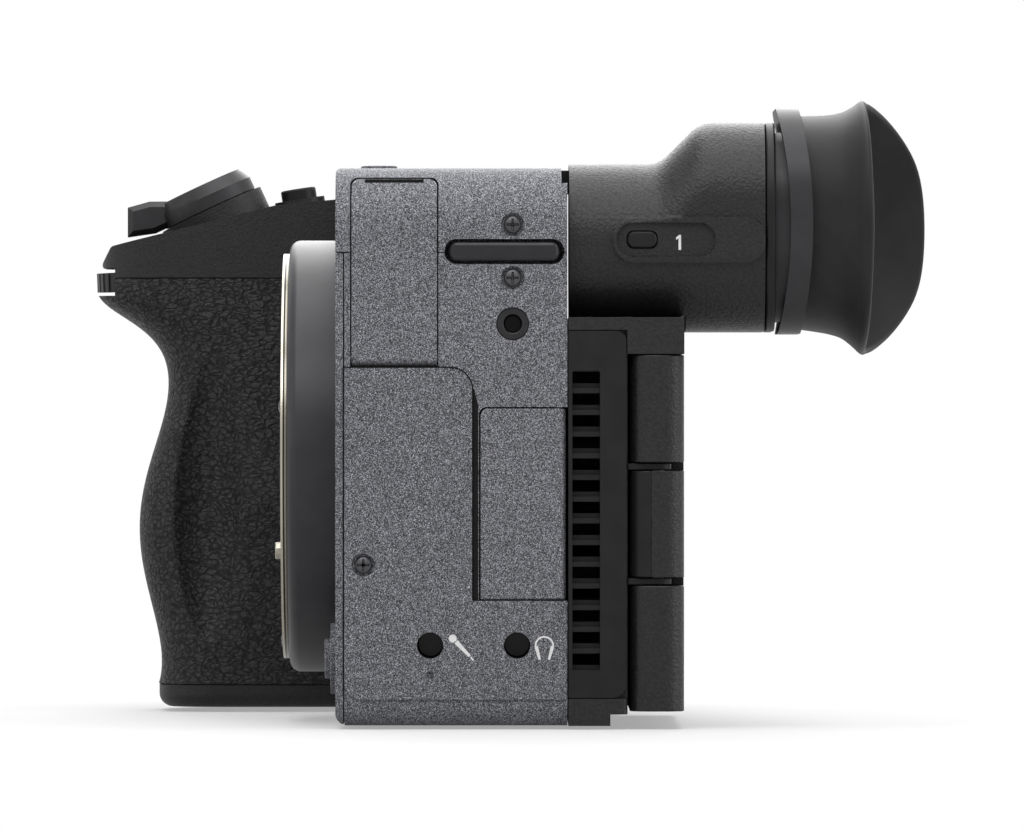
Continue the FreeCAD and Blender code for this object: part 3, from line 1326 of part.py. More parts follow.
doc.recompute()
barrel_form = shape_feature("barrel_form", barrel(0))
boss_skin = shape_feature("boss_skin", barrel(size("boss_proud")))
belly_room = block("belly_room", ("evf_left - wall", "evf_right + wall"),
                   ("evf_front - wall", "evf_step"), ("evf_low - wall", "evf_belly"))
housing = cut("housing", barrel_form, belly_room)
lug_slots = [block(f"{name}_evf_slot", (f"{low} - lug_slot", f"{low} + lug_wide + lug_slot"),
                   ("back_y", "hinge_y + lug_radius + lug_slot"),
                   ("hinge_z - lug_radius - lug_slot", HUMP_TOP)) for name, low in EVF_LUGS.items()]
pin_bores = [rod(f"{name}_evf_bore", "x", ("hinge_y", "hinge_z"), "hinge_pin + pin_fit",
                 f"{low} - pin_reach - lug_slot", f"{low} + lug_wide + pin_reach + lug_slot")
             for name, low in EVF_LUGS.items()]
eyepiece = ("bore_x", "bore_z")
eye_bore = rod("eye_bore", "y", eyepiece, "bore_radius", "evf_back - bore_deep", "evf_back + rim_thick")
boss_x = "evf_right + boss_proud"
pill_pad = pad("pill_pad", "YZ_Plane", "evf_right - wall", f"{boss_x} + wall", [
    (y, z, "(boss_high_z - boss_low) / 2 - seam") for y, z in (
        ("boss_front", "boss_low"), ("boss_back", "boss_low"),
        ("boss_back", "boss_high_z"), ("boss_front", "boss_high_z"))])
pill = common("pill", pill_pad, boss_skin)
pill_dish = pad("pill_dish", "YZ_Plane", f"{boss_x} - boss_flat", f"{boss_x} + wall", [
    (y, z, "(boss_high_z - boss_low) / 2 - boss_flat - seam") for y, z in (
        ("boss_recess_front", "boss_low + boss_flat"), ("boss_recess_back", "boss_low + boss_flat"),
        ("boss_recess_back", "boss_high_z - boss_flat"),
        ("boss_recess_front", "boss_high_z - boss_flat"))])


def key_form(label, gap, low, high):
    """Oval key of the viewfinder, or its well when the gap is more than nothing."""
    return pad(label, "YZ_Plane", low, high, [
        (y, z, "(key_high - key_low) / 2 - seam") for y, z in (
            (f"key_front - {gap}", f"key_low - {gap}"), (f"key_back + {gap}", f"key_low - {gap}"),
            (f"key_back + {gap}", f"key_high + {gap}"), (f"key_front - {gap}", f"key_high + {gap}"))])


key_face = f"{boss_x} - boss_flat"
key_well = key_form("key_well", "button_fit", f"{key_face} - button_room", f"{boss_x} + wall")
node(key_form("evf_button", "0", f"{key_face} - button_room + button_travel + seam",
              f"{key_face} + key_proud"))
end_plate = block("end_plate", ("evf_left", "evf_right"), ("evf_back - end_thick", "evf_back"),
                  ("evf_low", HUMP_TOP))
end_cut = block("end_cut", ("evf_left - wall", "evf_right + wall"),
                ("evf_back - end_thick - seam", "evf_back + wall"),
                ("evf_low - wall", f"{HUMP_TOP} + wall"))
node(cut("evf_housing", fuse("evf_bossed", housing, pill), pill_dish, key_well, end_cut, eye_bore,
         *lug_slots, *pin_bores))
node(cut("evf_rear_frame", common("end_form_plate", housing, end_plate), eye_bore))
node(rod("eyepiece_lens", "y", eyepiece, "bore_radius - button_fit",
         "evf_back - end_thick - lens_thick", "evf_back - end_thick"))

# Eyecup frame, bent about a level axis, and the rubber eyecup with its side flap
arc_axis = ("cup_neck_y + rim_bulge - rim_bend", "bore_z")
frame_pad = pad("frame_pad", "XZ_Plane", "evf_back + seam", "cup_back", [
    (x, z, "rim_round") for x, z in (
        ("bore_x - rim_half", "bore_z - rim_low"), ("bore_x + rim_half", "bore_z - rim_low"),
        ("bore_x + rim_half", "bore_z + rim_high"), ("bore_x - rim_half", "bore_z + rim_high"))])
bend_out = rod("bend_out", "x", arc_axis, "rim_bend", "evf_left - rim_round", "evf_right + rim_round")
bend_in = rod("bend_in", "x", arc_axis, "rim_bend - rim_plate", "evf_left - rim_round",
              "evf_right + rim_round")
frame_seat = pad("frame_seat", "XZ_Plane", "evf_back", "cup_neck_y", [
    (x, z, "evf_round - rim_inset") for x, z in (
        ("evf_left + rim_inset", "evf_low + rim_inset"), ("evf_right - rim_inset", "evf_low + rim_inset"),
        ("evf_right - rim_inset", f"{HUMP_TOP} - rim_inset"),
        ("evf_left + rim_inset", f"{HUMP_TOP} - rim_inset"))])
frame_shell = fuse("frame_shell", common("frame_bent", frame_pad, cut("bend", bend_out, bend_in)),
                   frame_seat)
node(cut("eyecup_frame", frame_shell, eye_bore))


def cup_form(inset):
    """Eyecup solid through four outlines, drawn in by the inset."""
    stations = (("cup_neck_y", "cup_neck_wide", "cup_neck_high"),
                ("cup_waist_y", "cup_neck_wide", "cup_neck_high"),
                ("cup_back", "cup_rim_wide", "cup_rim_high"),
                ("cup_far_y", "cup_far_wide", "cup_far_high"))
    wires = [round_wire(size(depth), size(wide) - inset, size(high) - inset,
                        size("cup_corner") - inset, size("bore_z")) for depth, wide, high in stations]
    return Part.makeLoft(wires, True, False)


def rim_line(x, bulge):
    """Region behind the rim at one side: an arc from top to bottom that bulges back."""
    middle = size("bore_z")
    half = size("cup_rim_high")
    near = size("cup_back")
    far = size("cup_far_y") + size("cup_far_y") - near
    top = Vector(x, near, middle + half)
    bottom = Vector(x, near, middle - half)
    arc = Part.Arc(top, Vector(x, near + bulge, middle), bottom).toShape()
    corners = [bottom, Vector(x, near, middle - 2 * half), Vector(x, far, middle - 2 * half),
               Vector(x, far, middle + 2 * half), Vector(x, near, middle + 2 * half), top]
    lines = [Part.makeLine(first, second) for first, second in zip(corners, corners[1:])]
    return Part.Wire([arc] + lines)


doc.recompute()
cup_half = size("cup_far_wide") + size("wall")
trim = Part.makeLoft([rim_line(size("bore_x") - cup_half, size("cup_flap")),
                      rim_line(size("bore_x") + cup_half, size("cup_lip"))], True, True)
cup_solid = cup_form(0).cut(cup_form(size("cup_wall"))).cut(trim)
cup_bend = Part.makeCylinder(size("rim_bend") + size("cup_clear"), 4 * cup_half,
                             Vector(size("bore_x") - 2 * cup_half,
                                    size("cup_neck_y") + size("rim_bulge") - size("rim_bend"),
                                    size("bore_z")), Vector(1, 0, 0))
node(shape_feature("eyecup", cup_solid.cut(cup_bend)))

# Monitor: shell, bezel and glass, with the hinge block and its cover in the notch
notch = block("notch", ("notch_left", "port_x + wall"), ("screen_front - wall", "screen_back + wall"),
              ("notch_low", "notch_high"))
screen_form = pad("screen_form", "XY_Plane", "screen_low", "screen_high", [
    ("screen_left", "screen_front", "edge_round"), ("port_x", "screen_front", "screen_round"),
    ("port_x", "screen_back", "rear_corner"), ("screen_left", "screen_back", "edge_round")])
bezel_span = (("screen_left + screen_bezel", "notch_left - screen_bezel"),
              ("screen_low + screen_bezel", "screen_high - screen_bezel"))
bezel_room = block("bezel_room", bezel_span[0], ("screen_back - bezel_deep", "screen_back + wall"),
                   bezel_span[1])
node(cut("monitor_shell", screen_form, bezel_room, notch))
bezel_plate = block("bezel_plate", bezel_span[0], ("screen_back - bezel_deep", "screen_back"),
                    bezel_span[1])
glass_span = [(f"{low} + glass_inset", f"{high} - glass_inset") for low, high in bezel_span]
glass_room = block("glass_room", glass_span[0], ("screen_back - bezel_deep - wall", "screen_back + wall"),
                   glass_span[1])
node(cut("monitor_bezel", bezel_plate, glass_room))
node(block("monitor_glass", glass_span[0], ("screen_back - bezel_deep", "screen_back - seam"),
           glass_span[1]))
swing_bore = rod("swing_bore", "z", ("swing_x", "swing_y"), "swing_pin + pin_fit", "screen_low",
                 "screen_high")
hinge_low = "notch_low + bracket_thick + 2 * seam"
hinge_high = "notch_high - bracket_thick - 2 * seam"
hinge_form = pad("hinge_form", "XY_Plane", hinge_low, hinge_high, [
    ("notch_left", "screen_front"), ("port_x", "screen_front", "screen_round"),
    ("port_x", "screen_back", "rear_corner"), ("notch_left", "screen_back")])
front_half = block("front_half", ("notch_left - wall", "port_x + wall"),
                   ("screen_front - wall", "hinge_seam"), (hinge_low, hinge_high))
rear_half = block("rear_half", ("notch_left - wall", "port_x + wall"),
                  ("hinge_seam", "screen_back + wall"), (hinge_low, hinge_high))
node(cut("hinge_cover", common("hinge_front", hinge_form, front_half), swing_bore))
node(cut("hinge_block", common("hinge_rear", hinge_form, rear_half), swing_bore))


# Check every object, then write each piece to its own file
doc.recompute()
for thing in doc.Objects:
    if "Invalid" in thing.State or "Error" in thing.State:
        raise RuntimeError(f"{thing.Label} failed: {thing.State}")
for piece in NODES:
    if piece.Shape.isNull() or not piece.Shape.isValid():
        raise RuntimeError(f"{piece.Label} has no valid shape")
os.makedirs("parts", exist_ok=True)
for piece in NODES:
    piece.Shape.exportStep(f"parts/{piece.Label}.step")
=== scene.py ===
"""Finish and lighting of a compact cinema camera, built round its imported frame."""
import json
import math

import bmesh
import bpy
from bpy.props import FloatProperty, FloatVectorProperty, PointerProperty
from mathutils import Matrix, Vector
from mathutils.bvhtree import BVHTree

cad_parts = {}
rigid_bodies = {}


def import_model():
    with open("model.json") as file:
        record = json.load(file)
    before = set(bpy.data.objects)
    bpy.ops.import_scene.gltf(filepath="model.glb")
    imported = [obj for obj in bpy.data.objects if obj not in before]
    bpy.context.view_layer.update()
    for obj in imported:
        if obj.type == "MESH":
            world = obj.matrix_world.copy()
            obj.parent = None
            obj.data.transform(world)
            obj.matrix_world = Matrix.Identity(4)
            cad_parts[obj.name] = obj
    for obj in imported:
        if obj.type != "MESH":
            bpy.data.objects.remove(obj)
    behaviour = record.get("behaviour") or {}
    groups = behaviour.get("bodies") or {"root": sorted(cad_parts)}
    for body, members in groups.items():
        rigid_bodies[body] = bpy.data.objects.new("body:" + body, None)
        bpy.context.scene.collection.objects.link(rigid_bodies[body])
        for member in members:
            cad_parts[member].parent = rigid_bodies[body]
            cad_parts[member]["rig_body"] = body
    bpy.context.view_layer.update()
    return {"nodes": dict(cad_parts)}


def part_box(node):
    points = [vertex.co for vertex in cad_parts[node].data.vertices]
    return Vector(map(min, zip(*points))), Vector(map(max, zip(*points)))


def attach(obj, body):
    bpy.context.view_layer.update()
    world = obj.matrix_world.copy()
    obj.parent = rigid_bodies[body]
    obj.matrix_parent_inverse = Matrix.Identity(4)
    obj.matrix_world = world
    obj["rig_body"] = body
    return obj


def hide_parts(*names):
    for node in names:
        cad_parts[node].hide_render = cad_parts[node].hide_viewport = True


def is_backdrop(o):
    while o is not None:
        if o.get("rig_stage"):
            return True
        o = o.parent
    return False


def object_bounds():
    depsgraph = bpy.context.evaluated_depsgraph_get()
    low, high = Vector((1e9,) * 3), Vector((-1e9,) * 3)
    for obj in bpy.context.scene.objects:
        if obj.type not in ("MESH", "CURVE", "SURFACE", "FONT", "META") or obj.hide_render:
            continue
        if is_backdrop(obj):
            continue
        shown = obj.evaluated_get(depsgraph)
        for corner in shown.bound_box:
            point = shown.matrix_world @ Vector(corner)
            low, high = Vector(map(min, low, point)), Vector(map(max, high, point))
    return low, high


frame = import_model()
MM = 0.001

bl_info = {
    "name": "Cinema camera finish",
    "version": (1, 0, 0),
    "blender": (4, 5, 0),
    "location": "View3D > Sidebar > Cinema camera",
    "description": "Dresses the cinema camera in paint, rubber, metal and glass, with a studio",
    "category": "Object",
}


class CameraSizes(bpy.types.PropertyGroup):
    """Sizes of the finish that a user would change."""

    edge: FloatProperty(
        name="Edge break", description="Width of the small bevel on moulded edges",
        default=0.25 * MM, unit="LENGTH")
    round_edge: FloatProperty(
        name="Rounded edge", description="Width of the bevel on the strap bar and its like",
        default=0.6 * MM, unit="LENGTH")
    metal_edge: FloatProperty(
        name="Metal edge break", description="Width of the bevel on machined edges",
        default=0.15 * MM, unit="LENGTH")
    eyecup_wall: FloatProperty(
        name="Eyecup wall", description="Thickness of the rubber eyecup",
        default=1.6 * MM, unit="LENGTH")
    mark_proud: FloatProperty(
        name="Print thickness", description="How far printed marks stand off the face",
        default=0.03 * MM, unit="LENGTH")


class CameraColours(bpy.types.PropertyGroup):
    """Base colours of the finishes."""

    silver: FloatVectorProperty(
        name="Metallic paint", description="Speckled grey paint of the body",
        subtype="COLOR", default=(0.122, 0.124, 0.135), min=0, max=1)
    black: FloatVectorProperty(
        name="Black plastic", description="Pebbled black housing",
        subtype="COLOR", default=(0.009, 0.009, 0.0093), min=0, max=1)
    rubber: FloatVectorProperty(
        name="Rubber", description="Matte rubber of the eyecup",
        subtype="COLOR", default=(0.013, 0.013, 0.0134), min=0, max=1)
    grip: FloatVectorProperty(
        name="Grip rubber", description="Leather grained grip",
        subtype="COLOR", default=(0.021, 0.021, 0.0215), min=0, max=1)
    steel: FloatVectorProperty(
        name="Steel", description="Lens mount ring",
        subtype="COLOR", default=(0.3, 0.28, 0.235), min=0, max=1)
    print_white: FloatVectorProperty(
        name="Print", description="White printed marks",
        subtype="COLOR", default=(0.72, 0.72, 0.72), min=0, max=1)


# Edge of a lofted piece, which takes no bevel and keeps the frame's triangles
LOFT = 0.0
# Angle in degrees from which two faces are taken to meet in a sharp edge
BREAK_ANGLE = 32
# Bevels narrower than this, in metres, are made in fewer steps
NARROW = 0.4 * MM
# How near points are joined into one, in millimetres, and how flat in degrees faces are made one
JOIN_DISTANCE = 0.002
FLAT_ANGLE = 0.4
# Front of the mount ring and the height of its side, in millimetres
RING_FACE = -28.1
RING_SIDE = 1.05


class Value:
    """A shader value whose operators add Math nodes."""

    def __init__(self, finish, socket):
        self.finish = finish
        self.socket = socket

    def maths(self, operation, first, second):
        return self.finish.value("ShaderNodeMath", {"operation": operation}, {0: first, 1: second})

    def __add__(self, other):
        return self.maths("ADD", self, other)

    def __radd__(self, other):
        return self.maths("ADD", other, self)

    def __sub__(self, other):
        return self.maths("SUBTRACT", self, other)

    def __rsub__(self, other):
        return self.maths("SUBTRACT", other, self)

    def __mul__(self, other):
        return self.maths("MULTIPLY", self, other)

    def __rmul__(self, other):
        return self.maths("MULTIPLY", other, self)


def add_node(tree, kind, settings=None, inputs=None):
    """Node of a shader or geometry tree: its settings first, then its sockets' values or links."""
    made = tree.nodes.new(kind)
    for name, setting in (settings or {}).items():
        if name == "stops":
            set_stops(made.color_ramp, setting)
        else:
            setattr(made, name, setting)
    for name, item in (inputs or {}).items():
        item = item.socket if isinstance(item, Value) else item
        if isinstance(item, bpy.types.NodeSocket):
            tree.links.new(item, made.inputs[name])
        else:
            made.inputs[name].default_value = item
    return made


def set_stops(ramp, stops):
    """Give a colour ramp its (place, colour) stops."""
    while len(ramp.elements) < len(stops):
        ramp.elements.new(0.5)
    for element, (place, colour) in zip(ramp.elements, stops):
        element.position = place
        element.color = (*colour, 1)


class Finish:
    """A material under construction."""

    def __init__(self, name, **constants):
        self.material = bpy.data.materials.new(name)
        self.material.use_nodes = True
        self.tree = self.material.node_tree
        self.shader = self.tree.nodes["Principled BSDF"]
        for socket, constant in constants.items():
            self.shader.inputs[socket.replace("_", " ")].default_value = constant
        self.place = self.node("ShaderNodeTexCoord").outputs["Object"]

    def node(self, kind, settings=None, inputs=None):
        """Any node of this material."""
        return add_node(self.tree, kind, settings, inputs)

    def value(self, kind, settings=None, inputs=None, output=0):
        """One output of a new node, ready for operators."""
        return Value(self, self.node(kind, settings, inputs).outputs[output])

    def noise(self, scale, detail=2.0, rough=0.5):
        return self.value("ShaderNodeTexNoise", None, {
            "Vector": self.place, "Scale": scale, "Detail": detail, "Roughness": rough})

    def cells(self, scale, feature="F1", output="Distance", smooth=None):
        inputs = {"Vector": self.place, "Scale": scale}
        if smooth is not None:
            inputs["Smoothness"] = smooth
        return self.value("ShaderNodeTexVoronoi", {"feature": feature}, inputs, output)

    def ramp(self, factor, stops):
        return self.node("ShaderNodeValToRGB", {"stops": stops}, {"Fac": factor}).outputs["Color"]

    def range(self, factor, low, high):
        """A factor from nought to one stretched from low to high."""
        return self.value("ShaderNodeMapRange", None,
                          {"Value": factor, "To Min": low, "To Max": high})

    def feed(self, socket, source):
        """Link a value or socket to the material's shader."""
        source = source.socket if isinstance(source, Value) else source
        self.tree.links.new(source, self.shader.inputs[socket])

    def tones(self, factor, low, high, places=(0.3, 0.7)):
        """Base colour that runs from one tone to another."""
        self.feed("Base Color", self.ramp(factor, [(places[0], low), (places[1], high)]))

    def bump(self, height, strength, distance):
        """Relief of a height, its distance in millimetres."""
        bumped = self.node("ShaderNodeBump", None, {
            "Height": height, "Strength": strength, "Distance": distance * MM})
        self.feed("Normal", bumped.outputs["Normal"])


def shade(colour, gain):
    """A colour made lighter or darker."""
    return tuple(min(1.0, channel * gain) for channel in colour)


def speckled_paint(colours):
    """Grey metallic paint, each fleck lighter or darker than the next."""
    finish = Finish("speckled_paint", Metallic=0.2, Specular_IOR_Level=0.12)
    tone = tuple(colours.silver)
    cells = finish.cells(8200, output="Color")
    fleck = finish.value("ShaderNodeSeparateColor", None, {"Color": cells})
    grain = finish.noise(9000, 2, 0.6)
    speck = fleck * 0.66 + (grain - 0.5) * 1.5 + 0.17
    finish.feed("Base Color", finish.ramp(speck, [
        (0.1, shade(tone, 0.12)), (0.45, shade(tone, 0.7)), (0.75, shade(tone, 1.9)),
        (0.95, shade(tone, 4.0))]))
    finish.feed("Roughness", finish.range(fleck, 0.48, 0.64))
    finish.bump(speck, 0.3, 0.05)
    return finish.material


def pebbled_plastic_painted_shade(colours, name="pebbled_plastic_painted_shade", scale=2500, depth=0.07,
                    rough=(0.36, 0.52)):
    """Black housing with a fine moulded pebble, its colour lighter on each pebble's top and darker
    between them as painted highlight and shade.
    """
    finish = Finish(name, Specular_IOR_Level=0.3)
    tone = tuple(colours.black)
    pebble = finish.cells(scale, "SMOOTH_F1", smooth=0.5)
    fine = finish.noise(scale * 1.9, 2, 0.6)
    # Painted highlight and shade: lighter where the pebble rises, darker in the hollows between,
    # with a little random tone.
    finish.feed("Base Color", finish.ramp(pebble + fine * 0.3, [
        (0.2, shade(tone, 1.5)), (0.6, tone), (0.9, shade(tone, 0.5))]))
    finish.feed("Roughness", finish.range(pebble, *rough))
    finish.bump(1 - pebble + fine * 0.5, 0.8, depth)
    return finish.material


def satin_plastic(colours, name="satin_plastic", gain=1.0, rough=(0.4, 0.5)):
    """Smooth black plastic with a faint cloud of wear."""
    finish = Finish(name, Specular_IOR_Level=0.19)
    tone = shade(tuple(colours.black), gain)
    cloud = finish.noise(220, 3)
    grain = finish.noise(5200, 2)
    finish.tones(cloud, shade(tone, 0.8), shade(tone, 1.2), (0.35, 0.65))
    finish.feed("Roughness", finish.range(cloud, *rough))
    finish.bump(grain, 0.15, 0.03)
    return finish.material


def matte_rubber(colours):
    """Soft rubber of the eyecup, its tone clouded a little lighter and darker at random."""
    finish = Finish("matte_rubber", Specular_IOR_Level=0.18, Sheen_Weight=0.05,
                    Sheen_Roughness=0.5)
    tone = tuple(colours.rubber)
    cloud = finish.noise(160, 4, 0.6)
    grain = finish.noise(3800, 3, 0.6)
    finish.tones(cloud, shade(tone, 0.8), shade(tone, 1.4))
    finish.feed("Roughness", finish.range(cloud, 0.5, 0.62))
    finish.bump(grain, 0.3, 0.04)
    return finish.material


def leather_grain_painted_shade(colours):
    """Rubber skin of the grip: small rounded bumps with longer wrinkles across them, its colour
    darker in the creases and lighter on the rises as painted shade and highlight.
    """
    finish = Finish("leather_grain_painted_shade", Specular_IOR_Level=0.15)
    tone = tuple(colours.grip)
    warp = finish.node("ShaderNodeTexNoise", None, {
        "Vector": finish.place, "Scale": 420, "Detail": 2}).outputs["Color"]
    swayed = finish.node("ShaderNodeVectorMath", {"operation": "MULTIPLY_ADD"}, {
        0: warp, 1: (0.0016,) * 3, 2: finish.place}).outputs[0]
    cell = finish.value("ShaderNodeTexVoronoi", {"feature": "SMOOTH_F1"}, {
        "Vector": swayed, "Scale": 2100, "Smoothness": 0.3})
    lean = finish.node("ShaderNodeMapping", None, {
        "Vector": swayed, "Rotation": (math.radians(38), 0, 0), "Scale": (1, 0.5, 1)}).outputs[0]
    wrinkle = finish.value("ShaderNodeTexVoronoi", {"feature": "DISTANCE_TO_EDGE"}, {
        "Vector": lean, "Scale": 1300})
    crease = finish.value("ShaderNodeMapRange", {"interpolation_type": "SMOOTHSTEP"},
                          {"Value": wrinkle, "From Min": 0.0, "From Max": 0.2})
    rise = (1 - cell) * 0.75 + crease * 0.5
    # Painted shade and highlight: the colour follows the relief, dark in the creases and light on
    # the rises.
    finish.feed("Base Color", finish.ramp(rise, [
        (0.35, shade(tone, 0.4)), (0.75, tone), (1.0, shade(tone, 2.0))]))
    finish.feed("Roughness", finish.range(rise, 0.62, 0.4))
    finish.bump(rise, 0.8, 0.17)
    return finish.material


def polish(finish, rough, spread):
    """Clouded roughness of machined metal, with fine scatter; returns its cloud."""
    cloud = finish.noise(300, 3)
    grain = finish.noise(4200, 2)
    finish.feed("Roughness", finish.range(grain * 0.5 + cloud * 0.5, rough, rough + spread))
    finish.bump(grain, 0.12, 0.03)
    return cloud


def worn_metal(name, tone, rough, metallic):
    """Machined metal, with fine scatter in its polish."""
    finish = Finish(name, Metallic=metallic, Specular_IOR_Level=0.35)
    cloud = polish(finish, rough - 0.06, 0.14)
    finish.tones(cloud, shade(tone, 0.85), shade(tone, 1.12))
    return finish.material


def steel_painted_reflection(tone):
    """Mount steel with a painted bright line and two painted dark bands round its side, standing in
    for its highlight and dark reflections.
    """
    finish = Finish("mount_steel_painted_reflection", Metallic=1.0)
    depth = finish.value("ShaderNodeSeparateXYZ", None, {"Vector": finish.place}, 1)
    along = finish.value("ShaderNodeMapRange", None, {
        "Value": depth, "From Min": RING_FACE * MM, "From Max": (RING_FACE + RING_SIDE) * MM})
    # Painted highlight and reflection: the colour along the ring's side runs light, then dark, as
    # its reflections would.
    finish.feed("Base Color", finish.ramp(along, [
        (0.0, tone), (0.24, shade(tone, 1.5)), (0.36, shade(tone, 0.06)),
        (0.52, shade(tone, 0.06)), (0.6, shade(tone, 0.8)), (0.74, shade(tone, 0.5)),
        (0.86, shade(tone, 0.06))]))
    polish(finish, 0.19, 0.14)
    return finish.material


def coated_glass(name, tone, tint):
    """Dark glass with a coloured anti-reflection coat."""
    finish = Finish(name, IOR=1.52, Coat_Weight=1.0, Coat_Roughness=0.03)
    cloud = finish.noise(90, 2)
    finish.tones(cloud, tone, tint)
    finish.feed("Roughness", finish.range(cloud, 0.05, 0.1))
    return finish.material


def printed(colours):
    """White print, very slightly uneven."""
    finish = Finish("white_print")
    cloud = finish.noise(2500, 2)
    tone = tuple(colours.print_white)
    finish.tones(cloud, shade(tone, 0.9), tone)
    finish.feed("Roughness", finish.range(cloud, 0.5, 0.65))
    return finish.material


def make_finishes(colours):
    """Every finish of the object, by name."""
    return {
        "silver": speckled_paint(colours),
        "pebble": pebbled_plastic_painted_shade(colours),
        "fine_pebble": pebbled_plastic_painted_shade(colours, "fine_pebble", 3400, 0.05, (0.42, 0.56)),
        "satin": satin_plastic(colours),
        "gloss": satin_plastic(colours, "gloss_plastic", 0.7, (0.12, 0.2)),
        "rubber": matte_rubber(colours),
        "leather": leather_grain_painted_shade(colours),
        "collar": worn_metal("collar_metal", (0.026, 0.026, 0.029), 0.4, 0.2),
        "dial": worn_metal("dial_metal", (0.018, 0.018, 0.02), 0.42, 0.2),
        "dark_metal": worn_metal("dark_metal", (0.022, 0.022, 0.024), 0.44, 0.3),
        "bar_metal": worn_metal("bar_metal", (0.022, 0.022, 0.024), 0.34, 0.5),
        "steel": steel_painted_reflection(tuple(colours.steel)),
        "pin_steel": worn_metal("pin_steel", tuple(colours.steel), 0.25, 1.0),
        "screw": worn_metal("screw_steel", (0.075, 0.075, 0.08), 0.38, 0.8),
        "brass": worn_metal("contact_gold", (0.75, 0.55, 0.24), 0.28, 1.0),
        # Dark finish of the camera's insides, also laid on thin sheets as painted shadow in the
        # side panel's groove and the door's nail notch.
        "cavity_and_painted_shadow": satin_plastic(colours, "cavity_black", 0.4, (0.7, 0.85)),
        "lens": coated_glass("eyepiece_glass", (0.004, 0.004, 0.007), (0.01, 0.008, 0.02)),
        "sensor": coated_glass("sensor_coat", (0.01, 0.02, 0.03), (0.03, 0.015, 0.05)),
        "screen": coated_glass("screen_glass", (0.004, 0.004, 0.005), (0.008, 0.008, 0.01)),
        "print": printed(colours),
    }


FINISHES = {}


def new_piece(name, mesh, finish, body, slot, *nodes):
    """Link a mesh, give it its finish and hang it on its body in place of some nodes."""
    piece = bpy.data.objects.new(name, mesh)
    bpy.context.scene.collection.objects.link(piece)
    mesh.materials.clear()
    mesh.materials.append(FINISHES[finish])
    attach(piece, body)
    if nodes:
        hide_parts(*nodes)
    return piece


def smooth(mesh, angle=BREAK_ANGLE):
    """Smooth shading with sharp edges kept."""
    mesh.shade_smooth()
    mesh.set_sharp_from_angle(angle=math.radians(angle))


def merged(mesh, flat):
    """Join the loose triangles of a frame mesh and, where asked, clean its flat faces."""
    work = bmesh.new()
    work.from_mesh(mesh)
    bmesh.ops.remove_doubles(work, verts=work.verts, dist=JOIN_DISTANCE * MM)
    if flat:
        bmesh.ops.dissolve_limit(work, angle_limit=math.radians(FLAT_ANGLE),
                                 verts=work.verts, edges=work.edges)
    work.to_mesh(mesh)
    work.free()


def changed(mesh, operation, form):
    """The mesh with another one added to it or cut from it."""
    tool = bpy.data.objects.new("change_tool", form)
    carrier = bpy.data.objects.new("change_carrier", mesh)
    for item in (tool, carrier):
        bpy.context.scene.collection.objects.link(item)
    boolean = carrier.modifiers.new("change", "BOOLEAN")
    boolean.operation = operation
    boolean.solver = "EXACT"
    boolean.object = tool
    graph = bpy.context.evaluated_depsgraph_get()
    whole = bpy.data.meshes.new_from_object(carrier.evaluated_get(graph))
    for item in (tool, carrier):
        bpy.data.objects.remove(item)
    return whole


def dress(node, finish, slot, edge, change=None):
    """Copy a frame piece with its own finish and softened edges, changed first where asked."""
    source = frame["nodes"][node]
    body = source["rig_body"]
    mesh = source.data.copy()
    merged(mesh, edge != LOFT)
    if change:
        mesh = changed(mesh, *change)
        merged(mesh, edge != LOFT)
    mesh.name = node + "_finish"
    piece = new_piece(node + "_finish", mesh, finish, body, slot, node)
    if edge:
        bevel = piece.modifiers.new("edge_break", "BEVEL")
        bevel.width = edge
        bevel.segments = 2 if edge < NARROW else 4
        bevel.limit_method = "ANGLE"
        bevel.angle_limit = math.radians(BREAK_ANGLE)
        bevel.use_clamp_overlap = True
        flat = piece.modifiers.new("flat_faces", "WEIGHTED_NORMAL")
        flat.keep_sharp = True
        flat.weight = 100
    smooth(mesh)


def hoops(work, rings):
    """Faces between each ring of points and the next."""
    for first, second in zip(rings, rings[1:]):
        for k in range(len(first)):
            n = (k + 1) % len(first)
            work.faces.new((first[k], first[n], second[n], second[k]))


def mesh_from(work, name):
    """Mesh of a built form, its faces turned outwards."""
    bmesh.ops.recalc_face_normals(work, faces=work.faces)
    mesh = bpy.data.meshes.new(name)
    work.to_mesh(mesh)
    work.free()
    return mesh


def turned(profile, steps):
    """Mesh turned about the Z axis from (radius, height) points in millimetres."""
    work = bmesh.new()
    rings = []
    for radius, height in profile:
        turns = [math.tau * k / steps for k in range(steps)]
        rings.append([work.verts.new((radius * math.cos(turn) * MM, radius * math.sin(turn) * MM,
                                      height * MM)) for turn in turns])
    hoops(work, rings)
    work.faces.new(list(reversed(rings[0])))
    work.faces.new(rings[-1])
    return mesh_from(work, "turned")


def joined(meshes):
    """One mesh from several."""
    work = bmesh.new()
    for mesh in meshes:
        work.from_mesh(mesh)
        bpy.data.meshes.remove(mesh)
    whole = bpy.data.meshes.new("joined")
    work.to_mesh(whole)
    work.free()
    return whole


def prism(corners, low, high):
    """Straight sided mesh over a closed outline of (x, y) points in millimetres."""
    work = bmesh.new()
    bottom = [work.verts.new((x * MM, y * MM, low * MM)) for x, y in corners]
    top = [work.verts.new((x * MM, y * MM, high * MM)) for x, y in corners]
    work.faces.new(bottom)
    work.faces.new(top)
    for k in range(len(corners)):
        n = (k + 1) % len(corners)
        work.faces.new((bottom[k], bottom[n], top[n], top[k]))
    return mesh_from(work, "prism")


def arc(x, y, radius, start, end, steps=8):
    """Points on an arc, in degrees."""
    return [(x + radius * math.cos(math.radians(start + (end - start) * k / steps)),
             y + radius * math.sin(math.radians(start + (end - start) * k / steps)))
            for k in range(steps + 1)]


